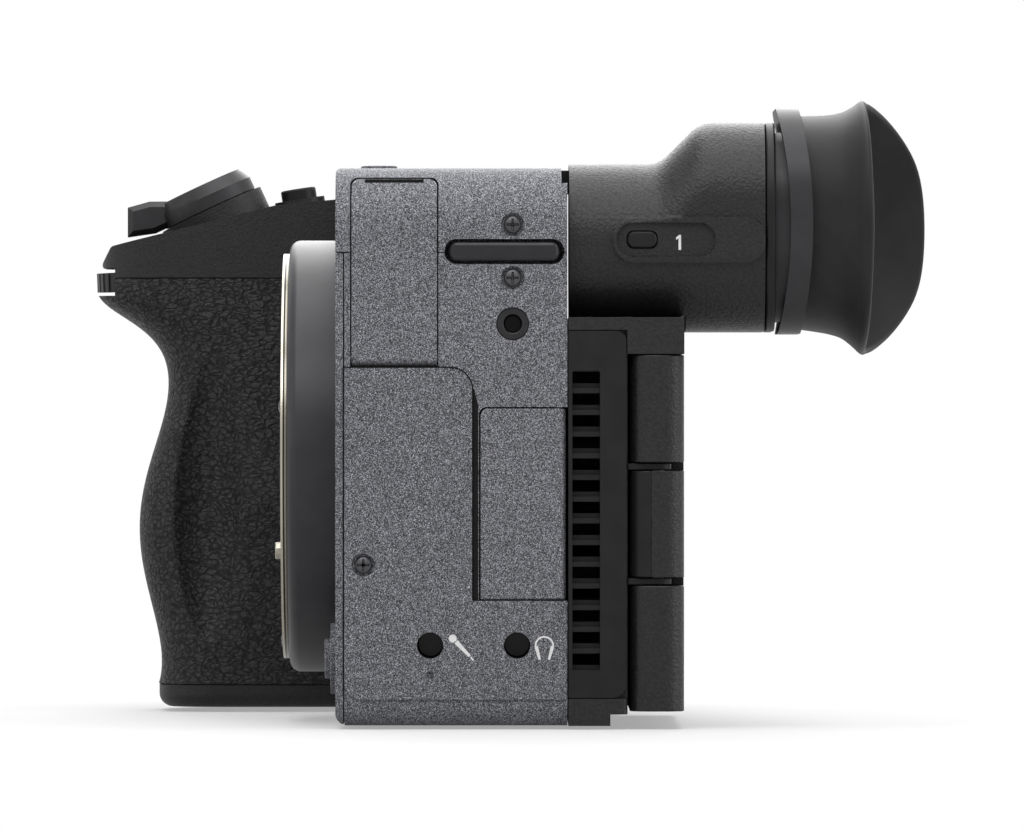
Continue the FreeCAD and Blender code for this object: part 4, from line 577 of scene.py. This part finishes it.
def band(points, width):
    """Closed outline of a line of even width through points."""
    left, right = [], []
    for k, (x, y) in enumerate(points):
        before = points[max(0, k - 1)]
        after = points[min(len(points) - 1, k + 1)]
        along = Vector((after[0] - before[0], after[1] - before[1])).normalized()
        left.append((x - along.y * width / 2, y + along.x * width / 2))
        right.append((x + along.y * width / 2, y - along.x * width / 2))
    return left + right[::-1]


def node_tree(name, inputs):
    """New geometry tree with named inputs, given as (name, socket type, default)."""
    tree = bpy.data.node_groups.new(name, "GeometryNodeTree")
    tree.interface.new_socket("Geometry", in_out="INPUT", socket_type="NodeSocketGeometry")
    for label, kind, default in inputs:
        socket = tree.interface.new_socket(label, in_out="INPUT", socket_type=kind)
        socket.default_value = default
    tree.interface.new_socket("Geometry", in_out="OUTPUT", socket_type="NodeSocketGeometry")
    return tree


def repeat(name, shape, places, finish):
    """One mesh of a shape repeated at (x, y, z, turn about x, y, z in degrees, size) places."""
    pattern = bpy.data.objects.new(name + "_pattern", shape)
    base = bpy.data.meshes.new(name + "_places")
    base.from_pydata([Vector(place[:3]) * MM for place in places], [], [])
    base.attributes.new("turn", "FLOAT_VECTOR", "POINT")
    base.attributes.new("size", "FLOAT", "POINT")
    for k, place in enumerate(places):
        base.attributes["turn"].data[k].vector = [math.radians(angle) for angle in place[3:6]]
        base.attributes["size"].data[k].value = place[6]
    carrier = bpy.data.objects.new(name + "_carrier", base)
    for item in (pattern, carrier):
        bpy.context.scene.collection.objects.link(item)
    tree = node_tree(name + "_tree", [("Scale", "NodeSocketFloat", 1.0)])
    entry = add_node(tree, "NodeGroupInput")
    source = add_node(tree, "GeometryNodeObjectInfo", None, {"Object": pattern})
    turn = add_node(tree, "GeometryNodeInputNamedAttribute", {"data_type": "FLOAT_VECTOR"},
                    {"Name": "turn"})
    size = add_node(tree, "GeometryNodeInputNamedAttribute", {"data_type": "FLOAT"},
                    {"Name": "size"})
    scale = add_node(tree, "ShaderNodeMath", {"operation": "MULTIPLY"},
                     {0: size.outputs[0], 1: entry.outputs["Scale"]})
    rotate = add_node(tree, "FunctionNodeEulerToRotation", None, {"Euler": turn.outputs[0]})
    spread = add_node(tree, "GeometryNodeInstanceOnPoints", None, {
        "Points": entry.outputs["Geometry"], "Instance": source.outputs["Geometry"],
        "Rotation": rotate.outputs[0], "Scale": scale.outputs[0]})
    real = add_node(tree, "GeometryNodeRealizeInstances", None, {"Geometry": spread.outputs[0]})
    coat = add_node(tree, "GeometryNodeSetMaterial", None,
                    {"Geometry": real.outputs[0], "Material": FINISHES[finish]})
    add_node(tree, "NodeGroupOutput", None, {"Geometry": coat.outputs[0]})
    modifier = carrier.modifiers.new(name, "NODES")
    modifier.node_group = tree
    scale_input = next(item for item in tree.interface.items_tree if item.name == "Scale")
    modifier[scale_input.identifier] = 1.0
    graph = bpy.context.evaluated_depsgraph_get()
    mesh = bpy.data.meshes.new_from_object(carrier.evaluated_get(graph))
    for item in (pattern, carrier):
        bpy.data.objects.remove(item)
    return mesh


# Screw head: how far its side runs below its rim in millimetres, and its sharp edges' angle
HEAD_SIDE = 0.6
HEAD_ANGLE = 40
# Its dome: how much of a half ellipse it takes in, and how far it is sunk as a share of its rise
DOME_SHARE = 0.92
DOME_SUNK = 0.25


def cross_head(radius, rise, arm, half, deep):
    """Domed screw head about Z with a cross recess; its rim is at height nought."""
    corner = math.degrees(math.atan2(half, arm))
    octant = [0, corner * 0.5, corner, (corner + 45) * 0.35, (corner + 45) * 0.42, 45]
    quarter = octant + [90 - angle for angle in reversed(octant[:-1])]
    turns = [base + angle for base in (0, 90, 180, 270) for angle in quarter[:-1]]
    work = bmesh.new()
    rings = []

    def cross(angle):
        """Reach of the cross's outline at a turn."""
        local = math.radians(min(angle % 90, 90 - angle % 90))
        if local <= math.radians(corner) + 1e-9:
            return arm / math.cos(local)
        return half / math.sin(local)

    def dome(reach):
        """Height of the head's dome at a reach."""
        return rise * (math.sqrt(1 - (reach / radius) ** 2 * DOME_SHARE) - DOME_SUNK)

    def ring(radius_at, height_at):
        made = []
        for angle in turns:
            reach = radius_at(angle)
            turn = math.radians(angle)
            made.append(work.verts.new((reach * math.cos(turn) * MM, reach * math.sin(turn) * MM,
                                        height_at(reach) * MM)))
        rings.append(made)

    ring(lambda angle: radius, lambda reach: -HEAD_SIDE)
    ring(lambda angle: radius, dome)
    for share in (0.93, 0.8, 0.55, 0.3, 0.1):
        ring(lambda angle: cross(angle) + (radius - cross(angle)) * share, dome)
    ring(cross, dome)
    ring(lambda angle: cross(angle) * 0.93, lambda reach: dome(reach) - deep * 0.5)
    ring(lambda angle: cross(angle) * 0.8, lambda reach: rise * 0.6 - deep)
    ring(lambda angle: cross(angle) * 0.3, lambda reach: rise * 0.5 - deep * 1.1)
    hoops(work, rings)
    work.faces.new(rings[-1])
    work.faces.new(list(reversed(rings[0])))
    mesh = mesh_from(work, "cross_head")
    smooth(mesh, HEAD_ANGLE)
    return mesh


# Eyecup profile behind the viewfinder, in millimetres: depth, half width, reach up, reach down
CUP_PROFILE = (
    (45.2, 18.8, 15.7, 14.4),
    (47.5, 18.8, 15.75, 14.7),
    (49.8, 18.9, 15.9, 15.1),
    (51.6, 19.4, 16.3, 15.7),
    (53.2, 20.4, 17.1, 16.9),
    (54.3, 21.4, 17.85, 17.85),
    (57.5, 22.5, 18.6, 18.6),
    (61.0, 23.3, 19.5, 19.5),
    (65.0, 24.0, 20.5, 20.5),
)

# The eyecup's middle and front end in millimetres, and the power that rounds its outline
CUP_MIDDLE = (27.0, 0, 69.72)
CUP_FRONT = 45.15
CUP_POWER = 2.6
# Steps round the eyecup, rows along its skin and rows over its lip
CUP_STEPS = 128
CUP_ROWS = 26
LIP_ROWS = 6
# Rim in millimetres: its depth by the place across (level, slope, curve), the bulge added to that
# towards its middle height (level, slope), the power that rounds the bulge, and the reach up and
# down at which it ends
RIM_BASE = (54.4, -0.09, -0.0018)
RIM_BULGE = (6.15, -0.121)
RIM_POWER = 0.7
RIM_REACH = 17.85
# Depth in millimetres from which the rim's depth is found, in how many steps
RIM_START = 54.3
RIM_STEPS = 6
# Depth in millimetres from which the flap is drawn in, and how much with the square of the rest
FLAP_FROM = 61.5
FLAP_DRAW = 0.095
# Share of the wall's thickness that is left at the rim
LIP_THICK = 0.62


def between(table, place):
    """Smooth values between rows of a table whose first column is the place."""
    if place <= table[0][0]:
        return table[0][1:]
    for k in range(len(table) - 1):
        if place <= table[k + 1][0]:
            before = table[max(0, k - 1)]
            first, second = table[k], table[k + 1]
            after = table[min(len(table) - 1, k + 2)]
            span = second[0] - first[0]
            t = (place - first[0]) / span
            result = []
            for c in range(1, len(first)):
                slope_a = (second[c] - before[c]) / (second[0] - before[0]) * span
                slope_b = (after[c] - first[c]) / (after[0] - first[0]) * span
                result.append(first[c] * (2 * t**3 - 3 * t**2 + 1)
                              + slope_a * (t**3 - 2 * t**2 + t)
                              + second[c] * (3 * t**2 - 2 * t**3) + slope_b * (t**3 - t**2))
            return tuple(result)
    return table[-1][1:]


def cup_outline(turn, depth, inset):
    """Point across and up on the eyecup's rounded outline at one turn and depth."""
    wide, up, down = between(CUP_PROFILE, depth)
    c, s = math.cos(turn), math.sin(turn)
    tall = up if s > 0 else down
    size = (abs(c) ** CUP_POWER + abs(s) ** CUP_POWER) ** (-1 / CUP_POWER)
    return (wide - inset) * c * size, (tall - inset) * s * size


def rim_depth(turn):
    """Depth of the rim at a turn, found in steps because the outline widens with the depth."""
    depth = RIM_START
    for _ in range(RIM_STEPS):
        across, up = cup_outline(turn, depth, 0)
        share = min(1.0, abs(up) / RIM_REACH)
        base = RIM_BASE[0] + RIM_BASE[1] * across + RIM_BASE[2] * across**2
        bulge = RIM_BULGE[0] + RIM_BULGE[1] * across
        depth = base + bulge * (1 - share**2) ** RIM_POWER
        depth -= FLAP_DRAW * max(0.0, depth - FLAP_FROM) ** 2
    return depth


def eyecup_mesh(wall):
    """Rubber eyecup: outer skin, rounded lip and inner bowl."""
    turns = [math.tau * (k + 0.5) / CUP_STEPS for k in range(CUP_STEPS)]
    depths = [rim_depth(turn) for turn in turns]
    rows = [(row / CUP_ROWS, 0.0) for row in range(CUP_ROWS + 1)]
    rows += [(1.0, row / LIP_ROWS) for row in range(1, LIP_ROWS)]
    rows += [(1 - row / CUP_ROWS, 1.0) for row in range(CUP_ROWS + 1)]
    work = bmesh.new()
    rings = []
    for along, over in rows:
        thick = wall * (LIP_THICK + (1 - LIP_THICK) * (1 - along))
        lip = math.sin(math.pi * over) * thick * 0.5
        inset = thick * (1 - math.cos(math.pi * over)) / 2
        ring = []
        for turn, depth in zip(turns, depths):
            place = CUP_FRONT + (depth - CUP_FRONT) * along
            across, up = cup_outline(turn, place, inset)
            point = Vector((across, place + lip - thick * 0.5 * along, up))
            ring.append(work.verts.new((point + Vector(CUP_MIDDLE)) * MM))
        rings.append(ring)
    hoops(work, rings + rings[:1])
    mesh = mesh_from(work, "eyecup")
    mesh.shade_smooth()
    return mesh


class CAMERA_OT_finishes(bpy.types.Operator):
    """Mix the paints, rubbers, metals and glass"""

    bl_idname = "cinema_camera.finishes"
    bl_label = "Finishes"

    def execute(self, context):
        FINISHES.update(make_finishes(context.scene.camera_colours))
        return {"FINISHED"}


class DressOperator:
    """Dresses the frame pieces of one group: node, finish, slot and edge kind."""

    pieces = ()

    def execute(self, context):
        sizes = context.scene.camera_sizes
        widths = {"round": sizes.round_edge, "soft": sizes.edge, "fine": sizes.metal_edge,
                  "none": None, "loft": LOFT}
        for node, finish, slot, edge in self.pieces:
            dress(node, finish, slot, widths[edge])
        self.details(context)
        return {"FINISHED"}

    def details(self, context):
        """Nothing more by default."""


class CAMERA_OT_covers(DressOperator, bpy.types.Operator):
    """Speckled metal covers, side doors and the strap bar"""

    bl_idname = "cinema_camera.covers"
    bl_label = "Covers"
    pieces = (
        ("front_cover", "silver", "silver_paint", "soft"),
        ("top_cover", "silver", "silver_paint", "soft"),
        ("side_cover", "silver", "silver_paint", "soft"),
        ("side_panel", "silver", "silver_paint", "soft"),
        ("hdmi_door", "silver", "silver_paint", "soft"),
        ("usb_door", "silver", "silver_paint", "soft"),
        ("base_plate", "silver", "silver_paint", "soft"),
        ("chassis", "cavity_and_painted_shadow", "black_metal", "none"),
        ("strap_bar", "bar_metal", "black_metal", "round"),
        ("clamp_socket", "bar_metal", "black_metal", "fine"),
        ("thread_sockets", "screw", "steel", "fine"),
        ("hot_shoe", "dark_metal", "black_metal", "fine"),
        ("top_button", "silver", "silver_paint", "soft"),
        ("hinge_pins", "screw", "steel", "none"),
        ("data_ports", "screw", "steel", "fine"),
        ("audio_jacks", "gloss", "steel", "fine"),
    )


# Places of the screws in millimetres: on the side cover and panel, and round the mount ring
SIDE_SCREWS = ((49.5, 4.7, 69.8), (49.5, 4.7, 62.4), (49.9, -16.1, 22.4))
RING_TURNS = (15, 105, 195, 285)
RING_RADIUS = 27.2
RING_SCREW_SIZE = 0.75
LENS_Z = 37.4
# Screw head in millimetres: its radius and rise, the cross's arm and half width, and its depth
SCREW_HEAD = (1.22, 0.5, 0.85, 0.17, 0.5)
# Contact pins in millimetres: how many, how far in the first is, how far their rim is from the
# block's face, and their profile
PIN_COUNT = 10
PIN_INSET = 1.2
PIN_PROUD = 0.05
PIN_PROFILE = ((0.5, -0.6), (0.5, 0.1), (0.34, 0.24), (0.12, 0.3))


class CAMERA_OT_mount(DressOperator, bpy.types.Operator):
    """Lens mount, its contacts and the chamber behind it"""

    bl_idname = "cinema_camera.mount"
    bl_label = "Lens mount"
    pieces = (
        ("mount_collar", "collar", "black_metal", "none"),
        ("mount_ring", "steel", "steel", "fine"),
        ("contact_block", "satin", "brass", "fine"),
        ("light_box", "cavity_and_painted_shadow", "black_metal", "none"),
        ("sensor_frame", "cavity_and_painted_shadow", "black_metal", "fine"),
        ("sensor_glass", "sensor", "glass", "none"),
        ("lens_release", "silver", "silver_paint", "soft"),
        ("lock_pin", "pin_steel", "steel", "fine"),
    )

    def details(self, context):
        """Screws and contact pins."""
        self.screws()
        self.contacts()

    def screws(self):
        """Cross headed screws: three in the side, four in the mount ring."""
        places = [(*place, 90, 0, 90, 1.0) for place in SIDE_SCREWS]
        for turn in RING_TURNS:
            angle = math.radians(turn)
            places.append((RING_RADIUS * math.cos(angle), RING_FACE,
                           LENS_Z + RING_RADIUS * math.sin(angle), 90, turn, 0, RING_SCREW_SIZE))
        mesh = repeat("cross_screws", cross_head(*SCREW_HEAD), places, "screw")
        new_piece("cross_screws", mesh, "screw", "camera", "steel", "screws")

    def contacts(self):
        """Gold pins in a row along the contact block."""
        low, high = (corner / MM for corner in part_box("contact_block"))
        step = (high.x - low.x - 2 * PIN_INSET) / (PIN_COUNT - 1)
        places = [(low.x + PIN_INSET + k * step, low.y - PIN_PROUD, (low.z + high.z) / 2,
                   90, 0, 0, 1.0) for k in range(PIN_COUNT)]
        pin = turned(PIN_PROFILE, steps=24)
        smooth(pin)
        mesh = repeat("contact_pins", pin, places, "brass")
        new_piece("contact_pins", mesh, "brass", "camera", "brass")


# Opening through the eyecup frame in millimetres: its radius and length and where it starts
EYE_RADIUS = 11.15
EYE_LENGTH = 8
EYE_BORE = (27.0, 41.2, 69.8)
# Turns a form built about Z so that it runs backwards
BACKWARDS = Matrix.Rotation(math.radians(-90), 4, "X")


class CAMERA_OT_viewfinder(DressOperator, bpy.types.Operator):
    """Viewfinder housing, its eyepiece and rubber cup"""

    bl_idname = "cinema_camera.viewfinder"
    bl_label = "Viewfinder"
    pieces = (
        ("evf_housing", "pebble", "black_plastic", "soft"),
        ("evf_rear_frame", "satin", "black_plastic", "soft"),
        ("evf_button", "satin", "black_metal", "soft"),
        ("eyepiece_lens", "lens", "glass", "fine"),
        ("hinge_brackets", "satin", "black_metal", "fine"),
    )

    def details(self, context):
        """Eyecup frame with its opening, and the rubber eyecup."""
        sizes = context.scene.camera_sizes
        opening = turned(((EYE_RADIUS, 0), (EYE_RADIUS, EYE_LENGTH)), steps=96)
        opening.transform(Matrix.Translation(Vector(EYE_BORE) * MM) @ BACKWARDS)
        dress("eyecup_frame", "dark_metal", "black_metal", sizes.edge, ("DIFFERENCE", opening))
        mesh = eyecup_mesh(sizes.eyecup_wall / MM)
        new_piece("eyecup_rubber", mesh, "rubber", "viewfinder", "rubber", "eyecup")


# Corners in millimetres of the box that fills the shelf behind the vent panel
SHELF_FILL = ((46.0, 20.66, 51.8), (50.0, 22.7, 55.6))


class CAMERA_OT_rear(DressOperator, bpy.types.Operator):
    """Monitor with its hinge, rear cover, vent and fan"""

    bl_idname = "cinema_camera.rear"
    bl_label = "Rear"
    pieces = (
        ("monitor_shell", "pebble", "black_plastic", "fine"),
        ("monitor_bezel", "satin", "black_plastic", "fine"),
        ("monitor_glass", "screen", "screen", "fine"),
        ("hinge_block", "pebble", "black_metal", "soft"),
        ("hinge_cover", "satin", "black_metal", "soft"),
        ("vent_panel", "satin", "black_plastic", "fine"),
        ("vent_baffle", "satin", "black_plastic", "none"),
        ("fan_rotor", "satin", "black_plastic", "none"),
        ("fan_stator", "satin", "black_plastic", "none"),
    )

    def details(self, context):
        """Rear cover, its shelf running whole behind the vent panel."""
        edge = context.scene.camera_sizes.metal_edge
        (left, front, low), (right, back, high) = SHELF_FILL
        corner = prism(((left, front), (right, front), (right, back), (left, back)), low, high)
        dress("rear_cover", "pebble", "black_plastic", edge, ("UNION", corner))


class CAMERA_OT_grip(DressOperator, bpy.types.Operator):
    """Hand grip, its deck, hatches and battery"""

    bl_idname = "cinema_camera.grip"
    bl_label = "Grip"
    pieces = (
        ("grip_core", "fine_pebble", "black_plastic", "soft"),
        ("grip_skin", "leather", "grip_rubber", "loft"),
        ("grip_deck", "fine_pebble", "black_plastic", "soft"),
        ("battery", "satin", "black_plastic", "soft"),
        ("battery_door", "fine_pebble", "black_plastic", "soft"),
        ("card_door", "fine_pebble", "black_plastic", "soft"),
    )


class CAMERA_OT_controls(DressOperator, bpy.types.Operator):
    """Dials, lever, buttons and joystick"""

    bl_idname = "cinema_camera.controls"
    bl_label = "Controls"
    pieces = (
        ("front_dial", "dial", "black_metal", "none"),
        ("rear_dial", "dial", "black_metal", "none"),
        ("zoom_lever", "dark_metal", "black_metal", "soft"),
        ("shutter_button", "satin", "black_metal", "soft"),
        ("record_button", "satin", "black_metal", "soft"),
        ("power_switch", "dial", "black_metal", "soft"),
        ("control_wheel", "dial", "black_metal", "fine"),
        ("wheel_button", "satin", "black_plastic", "soft"),
        ("menu_button", "satin", "black_plastic", "soft"),
        ("autofocus_button", "satin", "black_plastic", "soft"),
        ("play_button", "satin", "black_plastic", "soft"),
        ("joystick", "rubber", "rubber", "soft"),
    )


# Turns a flat mark so that it faces port: its x runs along y, its y up and its z along x
SIDEWAYS = Matrix(((0, 0, 1, 0), (1, 0, 0, 0), (0, 1, 0, 0), (0, 0, 0, 1)))
# Symbols beside the audio jacks, as (y, z) places in millimetres. The microphone: its head's middle
# and radius, its body and its cord. The headphones: their band's middle and radius, and their cups
MICROPHONE_HEAD = (-3.66, 12.18, 0.56)
MICROPHONE_BODY = ((-3.42, 11.5), (-2.95, 11.97), (-1.15, 9.86), (-1.42, 9.6))
MICROPHONE_CORD = ((-1.15, 9.6), (-0.75, 9.12))
CORD_WIDE = 0.22
EAR_BAND = (9.1, 11.2, 1.22)
BAND_WIDE = 0.24
EAR_CUPS = (((7.75, 10.95), (8.2, 11.2), (8.62, 9.3), (8.3, 9.2)),
            ((10.45, 10.95), (10.0, 11.2), (9.58, 9.3), (9.9, 9.2)))
# Figure one beside the viewfinder's key: its middle and its outline about it
KEY_NUMBER = (28.1, 67.35)
KEY_STROKE = ((-0.28, -1.05), (0.08, -1.05), (0.08, 1.05), (-0.2, 1.05), (-0.62, 0.7),
              (-0.62, 0.36), (-0.28, 0.56))
# Face of the camera's port side in millimetres, on which the side panel's groove lies
PORT_FACE = 50.0
# Painted shadow line along the side panel's groove in millimetres: its top, its leg with the bend,
# its foot and its width
PANEL_TOP = 49.93
PANEL_LEG = -0.87
PANEL_BEND = 3.2
PANEL_FOOT = 17.47
GROOVE_WIDE = 0.22
# Outline of the wider run of painted shadow in the groove between the leg and the data-port door
WIDE_RUN = ((PANEL_LEG, PANEL_FOOT), (-0.1, PANEL_FOOT), (-0.1, 44.8), (-0.45, 46.0),
            (PANEL_LEG, 47.5))
# Painted shade on the floor of the display-port door's nail notch, from its lower front to its
# upper back corner
NAIL_NOTCH = ((-15.9, 75.25), (-7.7, 76.15))


def seen_from_port(node, y, z):
    """Where the port side of a frame piece lies, in metres, at a place in millimetres."""
    source = frame["nodes"][node].data
    tree = BVHTree.FromPolygons([vertex.co for vertex in source.vertices],
                                [tuple(face.vertices) for face in source.polygons])
    hit = tree.ray_cast(Vector((1.0, y * MM, z * MM)), Vector((-1, 0, 0)))[0]
    return hit.x


def on_port(mesh, face):
    """A flat mark stood on the port side, its back at a place in metres."""
    mesh.transform(Matrix.Translation((face, 0, 0)) @ SIDEWAYS)
    return mesh


class CAMERA_OT_marks(bpy.types.Operator):
    """White marks beside the jacks and the viewfinder key, and painted shadow in the grooves on the
    side
    """

    bl_idname = "cinema_camera.marks"
    bl_label = "Marks and grooves"

    def execute(self, context):
        proud = context.scene.camera_sizes.mark_proud / MM
        self.symbols(proud)
        self.key_number(proud)
        self.grooves(proud)
        return {"FINISHED"}

    def symbols(self, proud):
        """A microphone and a pair of headphones beside the audio jacks."""
        head = arc(*MICROPHONE_HEAD, 0, 360, steps=24)[:-1]
        ear_band = band(arc(*EAR_BAND, -8, 188, steps=20), BAND_WIDE)
        outlines = (head, MICROPHONE_BODY, band(MICROPHONE_CORD, CORD_WIDE), ear_band, *EAR_CUPS)
        mesh = joined([prism(outline, 0, proud) for outline in outlines])
        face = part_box("side_panel")[1].x
        new_piece("jack_symbols", on_port(mesh, face), "print", "camera", "silver_paint")

    def key_number(self, proud):
        """Plain figure one on the flat of the viewfinder's boss, beside the key."""
        mesh = prism([(KEY_NUMBER[0] + y, KEY_NUMBER[1] + z) for y, z in KEY_STROKE], 0, proud)
        face = seen_from_port("evf_housing", *KEY_NUMBER)
        new_piece("key_number", on_port(mesh, face), "print", "viewfinder", "black_plastic")

    def grooves(self, proud):
        """Painted shadow: a dark line along the side panel's top and leg, and a dark sheet on the
        floor of the door's nail notch.
        """
        low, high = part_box("side_panel")
        bend = PANEL_LEG - PANEL_BEND
        path = ([(low.y / MM, PANEL_TOP), (bend, PANEL_TOP)]
                + arc(bend, PANEL_TOP - PANEL_BEND, PANEL_BEND, 90, 0)
                + [(PANEL_LEG, PANEL_FOOT), (high.y / MM, PANEL_FOOT)])
        # Painted shadow: thin dark sheets laid along the groove where its shade falls.
        outlines = [band(run, GROOVE_WIDE) for run in zip(path, path[1:])] + [WIDE_RUN]
        line = joined([prism(outline, 0, proud) for outline in outlines])
        new_piece("panel_groove", on_port(line, PORT_FACE * MM), "cavity_and_painted_shadow", "camera",
                  "silver_paint")
        (front, under), (back, over) = NAIL_NOTCH
        # Painted shade: a dark sheet on the notch's floor, where the hollow is shaded.
        floor = prism(((front, under), (back, under), (back, over), (front, over)), 0, proud)
        face = seen_from_port("hdmi_door", (front + back) / 2, (under + over) / 2)
        new_piece("nail_notch", on_port(floor, face), "cavity_and_painted_shadow",
                  frame["nodes"]["hdmi_door"]["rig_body"], "silver_paint")


# The photo's camera: its place in metres, and its lens and sensor in millimetres
EYE_PLACE = (1.680, 0.0046, 0.04336)
EYE_LENS = 411.7
EYE_SENSOR = 36
# Floor in metres: half its side, how far it lies under the object, its paper's tone, and from where
# to where the paper turns into the white of the background, with the share of white at both
FLOOR_HALF = 3.0
FLOOR_DROP = 0.0005
FLOOR_TONE = 0.64
WHITE_REACH = (0.1, 0.6)
WHITE_SHARE = (0.35, 1.0)
# Strength of the pale light from all round
SOFT_LIGHT = 0.2
# Lamps aimed at the object's middle: name, place and size in metres, power in watts
LAMP_AIM = (0, 0.01, 0.04)
LAMPS = (
    ("top_softbox", (0.05, 0.0, 0.9), (0.7, 0.7), 5.6),
    ("far_softbox", (-0.75, 0.0, 0.62), (0.6, 0.9), 6.8),
    ("front_softbox", (0.42, -0.05, 0.46), (0.5, 0.25), 1.7),
    ("rear_softbox", (0.25, 1.0, 0.35), (0.5, 0.7), 4.4),
    ("near_softbox", (0.3, -1.0, 0.5), (0.5, 0.7), 1.5),
)


def seen_white(tree):
    """One where a camera, glossy or transmitted ray asks, which see a white background."""
    rays = add_node(tree, "ShaderNodeLightPath")
    either = rays.outputs["Is Camera Ray"]
    for name in ("Is Glossy Ray", "Is Transmission Ray"):
        either = add_node(tree, "ShaderNodeMath", {"operation": "MAXIMUM"},
                          {0: either, 1: rays.outputs[name]}).outputs[0]
    return either


def mix_into(tree, output, share, first, second):
    """Mix two shaders of a tree by a share into its output's surface."""
    mixer = add_node(tree, "ShaderNodeMixShader", None, {0: share, 1: first, 2: second})
    tree.links.new(mixer.outputs[0], tree.nodes[output].inputs["Surface"])


class CAMERA_OT_studio(bpy.types.Operator):
    """Camera, pale floor, soft lamps and white surroundings"""

    bl_idname = "cinema_camera.studio"
    bl_label = "Studio"

    def execute(self, context):
        scene = context.scene
        scene.view_settings.view_transform = "Standard"
        self.camera(scene)
        self.floor(scene)
        self.surroundings(scene)
        self.lamps(scene)
        return {"FINISHED"}

    def camera(self, scene):
        """Level camera on the port side, as far off as the photo's."""
        data = bpy.data.cameras.new("photo_view")
        data.sensor_width = EYE_SENSOR
        data.lens = EYE_LENS
        data.clip_start = 0.05
        data.clip_end = 20
        eye = bpy.data.objects.new("photo_view", data)
        eye.location = EYE_PLACE
        eye.rotation_euler = (math.radians(90), 0, math.radians(90))
        scene.collection.objects.link(eye)
        scene.camera = eye

    def floor(self, scene):
        """Paper floor that fades into the white background."""
        data = bpy.data.meshes.new("floor")
        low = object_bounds()[0][2] - FLOOR_DROP
        corners = ((-1, -1), (1, -1), (1, 1), (-1, 1))
        data.from_pydata([(x * FLOOR_HALF, y * FLOOR_HALF, low) for x, y in corners], [],
                         [(0, 1, 2, 3)])
        floor = bpy.data.objects.new("floor", data)
        scene.collection.objects.link(floor)
        material = bpy.data.materials.new("floor_paper")
        material.use_nodes = True
        tree = material.node_tree
        shader = tree.nodes["Principled BSDF"]
        shader.inputs["Base Color"].default_value = (FLOOR_TONE, FLOOR_TONE, FLOOR_TONE, 1)
        shader.inputs["Roughness"].default_value = 0.9
        white = add_node(tree, "ShaderNodeEmission")
        place = add_node(tree, "ShaderNodeTexCoord")
        reach = add_node(tree, "ShaderNodeVectorMath", {"operation": "LENGTH"},
                         {0: place.outputs["Object"]})
        fade = add_node(tree, "ShaderNodeMapRange", {"interpolation_type": "SMOOTHSTEP"}, {
            "Value": reach.outputs["Value"], "From Min": WHITE_REACH[0],
            "From Max": WHITE_REACH[1], "To Min": WHITE_SHARE[0], "To Max": WHITE_SHARE[1]})
        share = add_node(tree, "ShaderNodeMath", {"operation": "MULTIPLY"},
                         {0: seen_white(tree), 1: fade.outputs["Result"]})
        mix_into(tree, "Material Output", share.outputs[0], shader.outputs[0], white.outputs[0])
        data.materials.append(material)
        floor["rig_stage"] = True

    def surroundings(self, scene):
        """Pale light from all round, seen as white."""
        world = bpy.data.worlds.new("studio")
        scene.world = world
        world.use_nodes = True
        tree = world.node_tree
        soft = tree.nodes["Background"]
        soft.inputs["Color"].default_value = (1, 1, 1, 1)
        soft.inputs["Strength"].default_value = SOFT_LIGHT
        white = add_node(tree, "ShaderNodeBackground", None,
                         {"Color": (1, 1, 1, 1), "Strength": 1.0})
        mix_into(tree, "World Output", seen_white(tree), soft.outputs[0], white.outputs[0])

    def lamps(self, scene):
        """Soft boxes over, behind and beside the object."""
        for name, place, (width, height), power in LAMPS:
            data = bpy.data.lights.new(name, "AREA")
            data.shape = "RECTANGLE"
            data.size = width
            data.size_y = height
            data.energy = power
            lamp = bpy.data.objects.new(name, data)
            lamp.location = place
            aim = Vector(LAMP_AIM) - Vector(place)
            lamp.rotation_euler = aim.to_track_quat("-Z", "Y").to_euler()
            scene.collection.objects.link(lamp)


class CAMERA_PT_panel(bpy.types.Panel):
    """Sizes, colours and steps of the finish"""

    bl_idname = "CAMERA_PT_panel"
    bl_label = "Cinema camera"
    bl_space_type = "VIEW_3D"
    bl_region_type = "UI"
    bl_category = "Cinema camera"

    def draw(self, context):
        for group in (context.scene.camera_sizes, context.scene.camera_colours):
            for name in group.__annotations__:
                self.layout.prop(group, name)
        for step in STEPS:
            self.layout.operator(step.bl_idname)


STEPS = (
    CAMERA_OT_finishes, CAMERA_OT_covers, CAMERA_OT_mount, CAMERA_OT_viewfinder, CAMERA_OT_rear,
    CAMERA_OT_grip, CAMERA_OT_controls, CAMERA_OT_marks, CAMERA_OT_studio,
)
CLASSES = (CameraSizes, CameraColours, *STEPS, CAMERA_PT_panel)


def register():
    """Add the classes and the scene's settings to Blender."""
    for item in CLASSES:
        bpy.utils.register_class(item)
    bpy.types.Scene.camera_sizes = PointerProperty(type=CameraSizes)
    bpy.types.Scene.camera_colours = PointerProperty(type=CameraColours)


def unregister():
    """Take the settings and classes out again."""
    del bpy.types.Scene.camera_colours
    del bpy.types.Scene.camera_sizes
    for item in reversed(CLASSES):
        bpy.utils.unregister_class(item)


def main():
    """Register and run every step."""
    register()
    for step in STEPS:
        group, name = step.bl_idname.split(".")
        getattr(getattr(bpy.ops, group), name)()


if __name__ == "__main__":
    main()
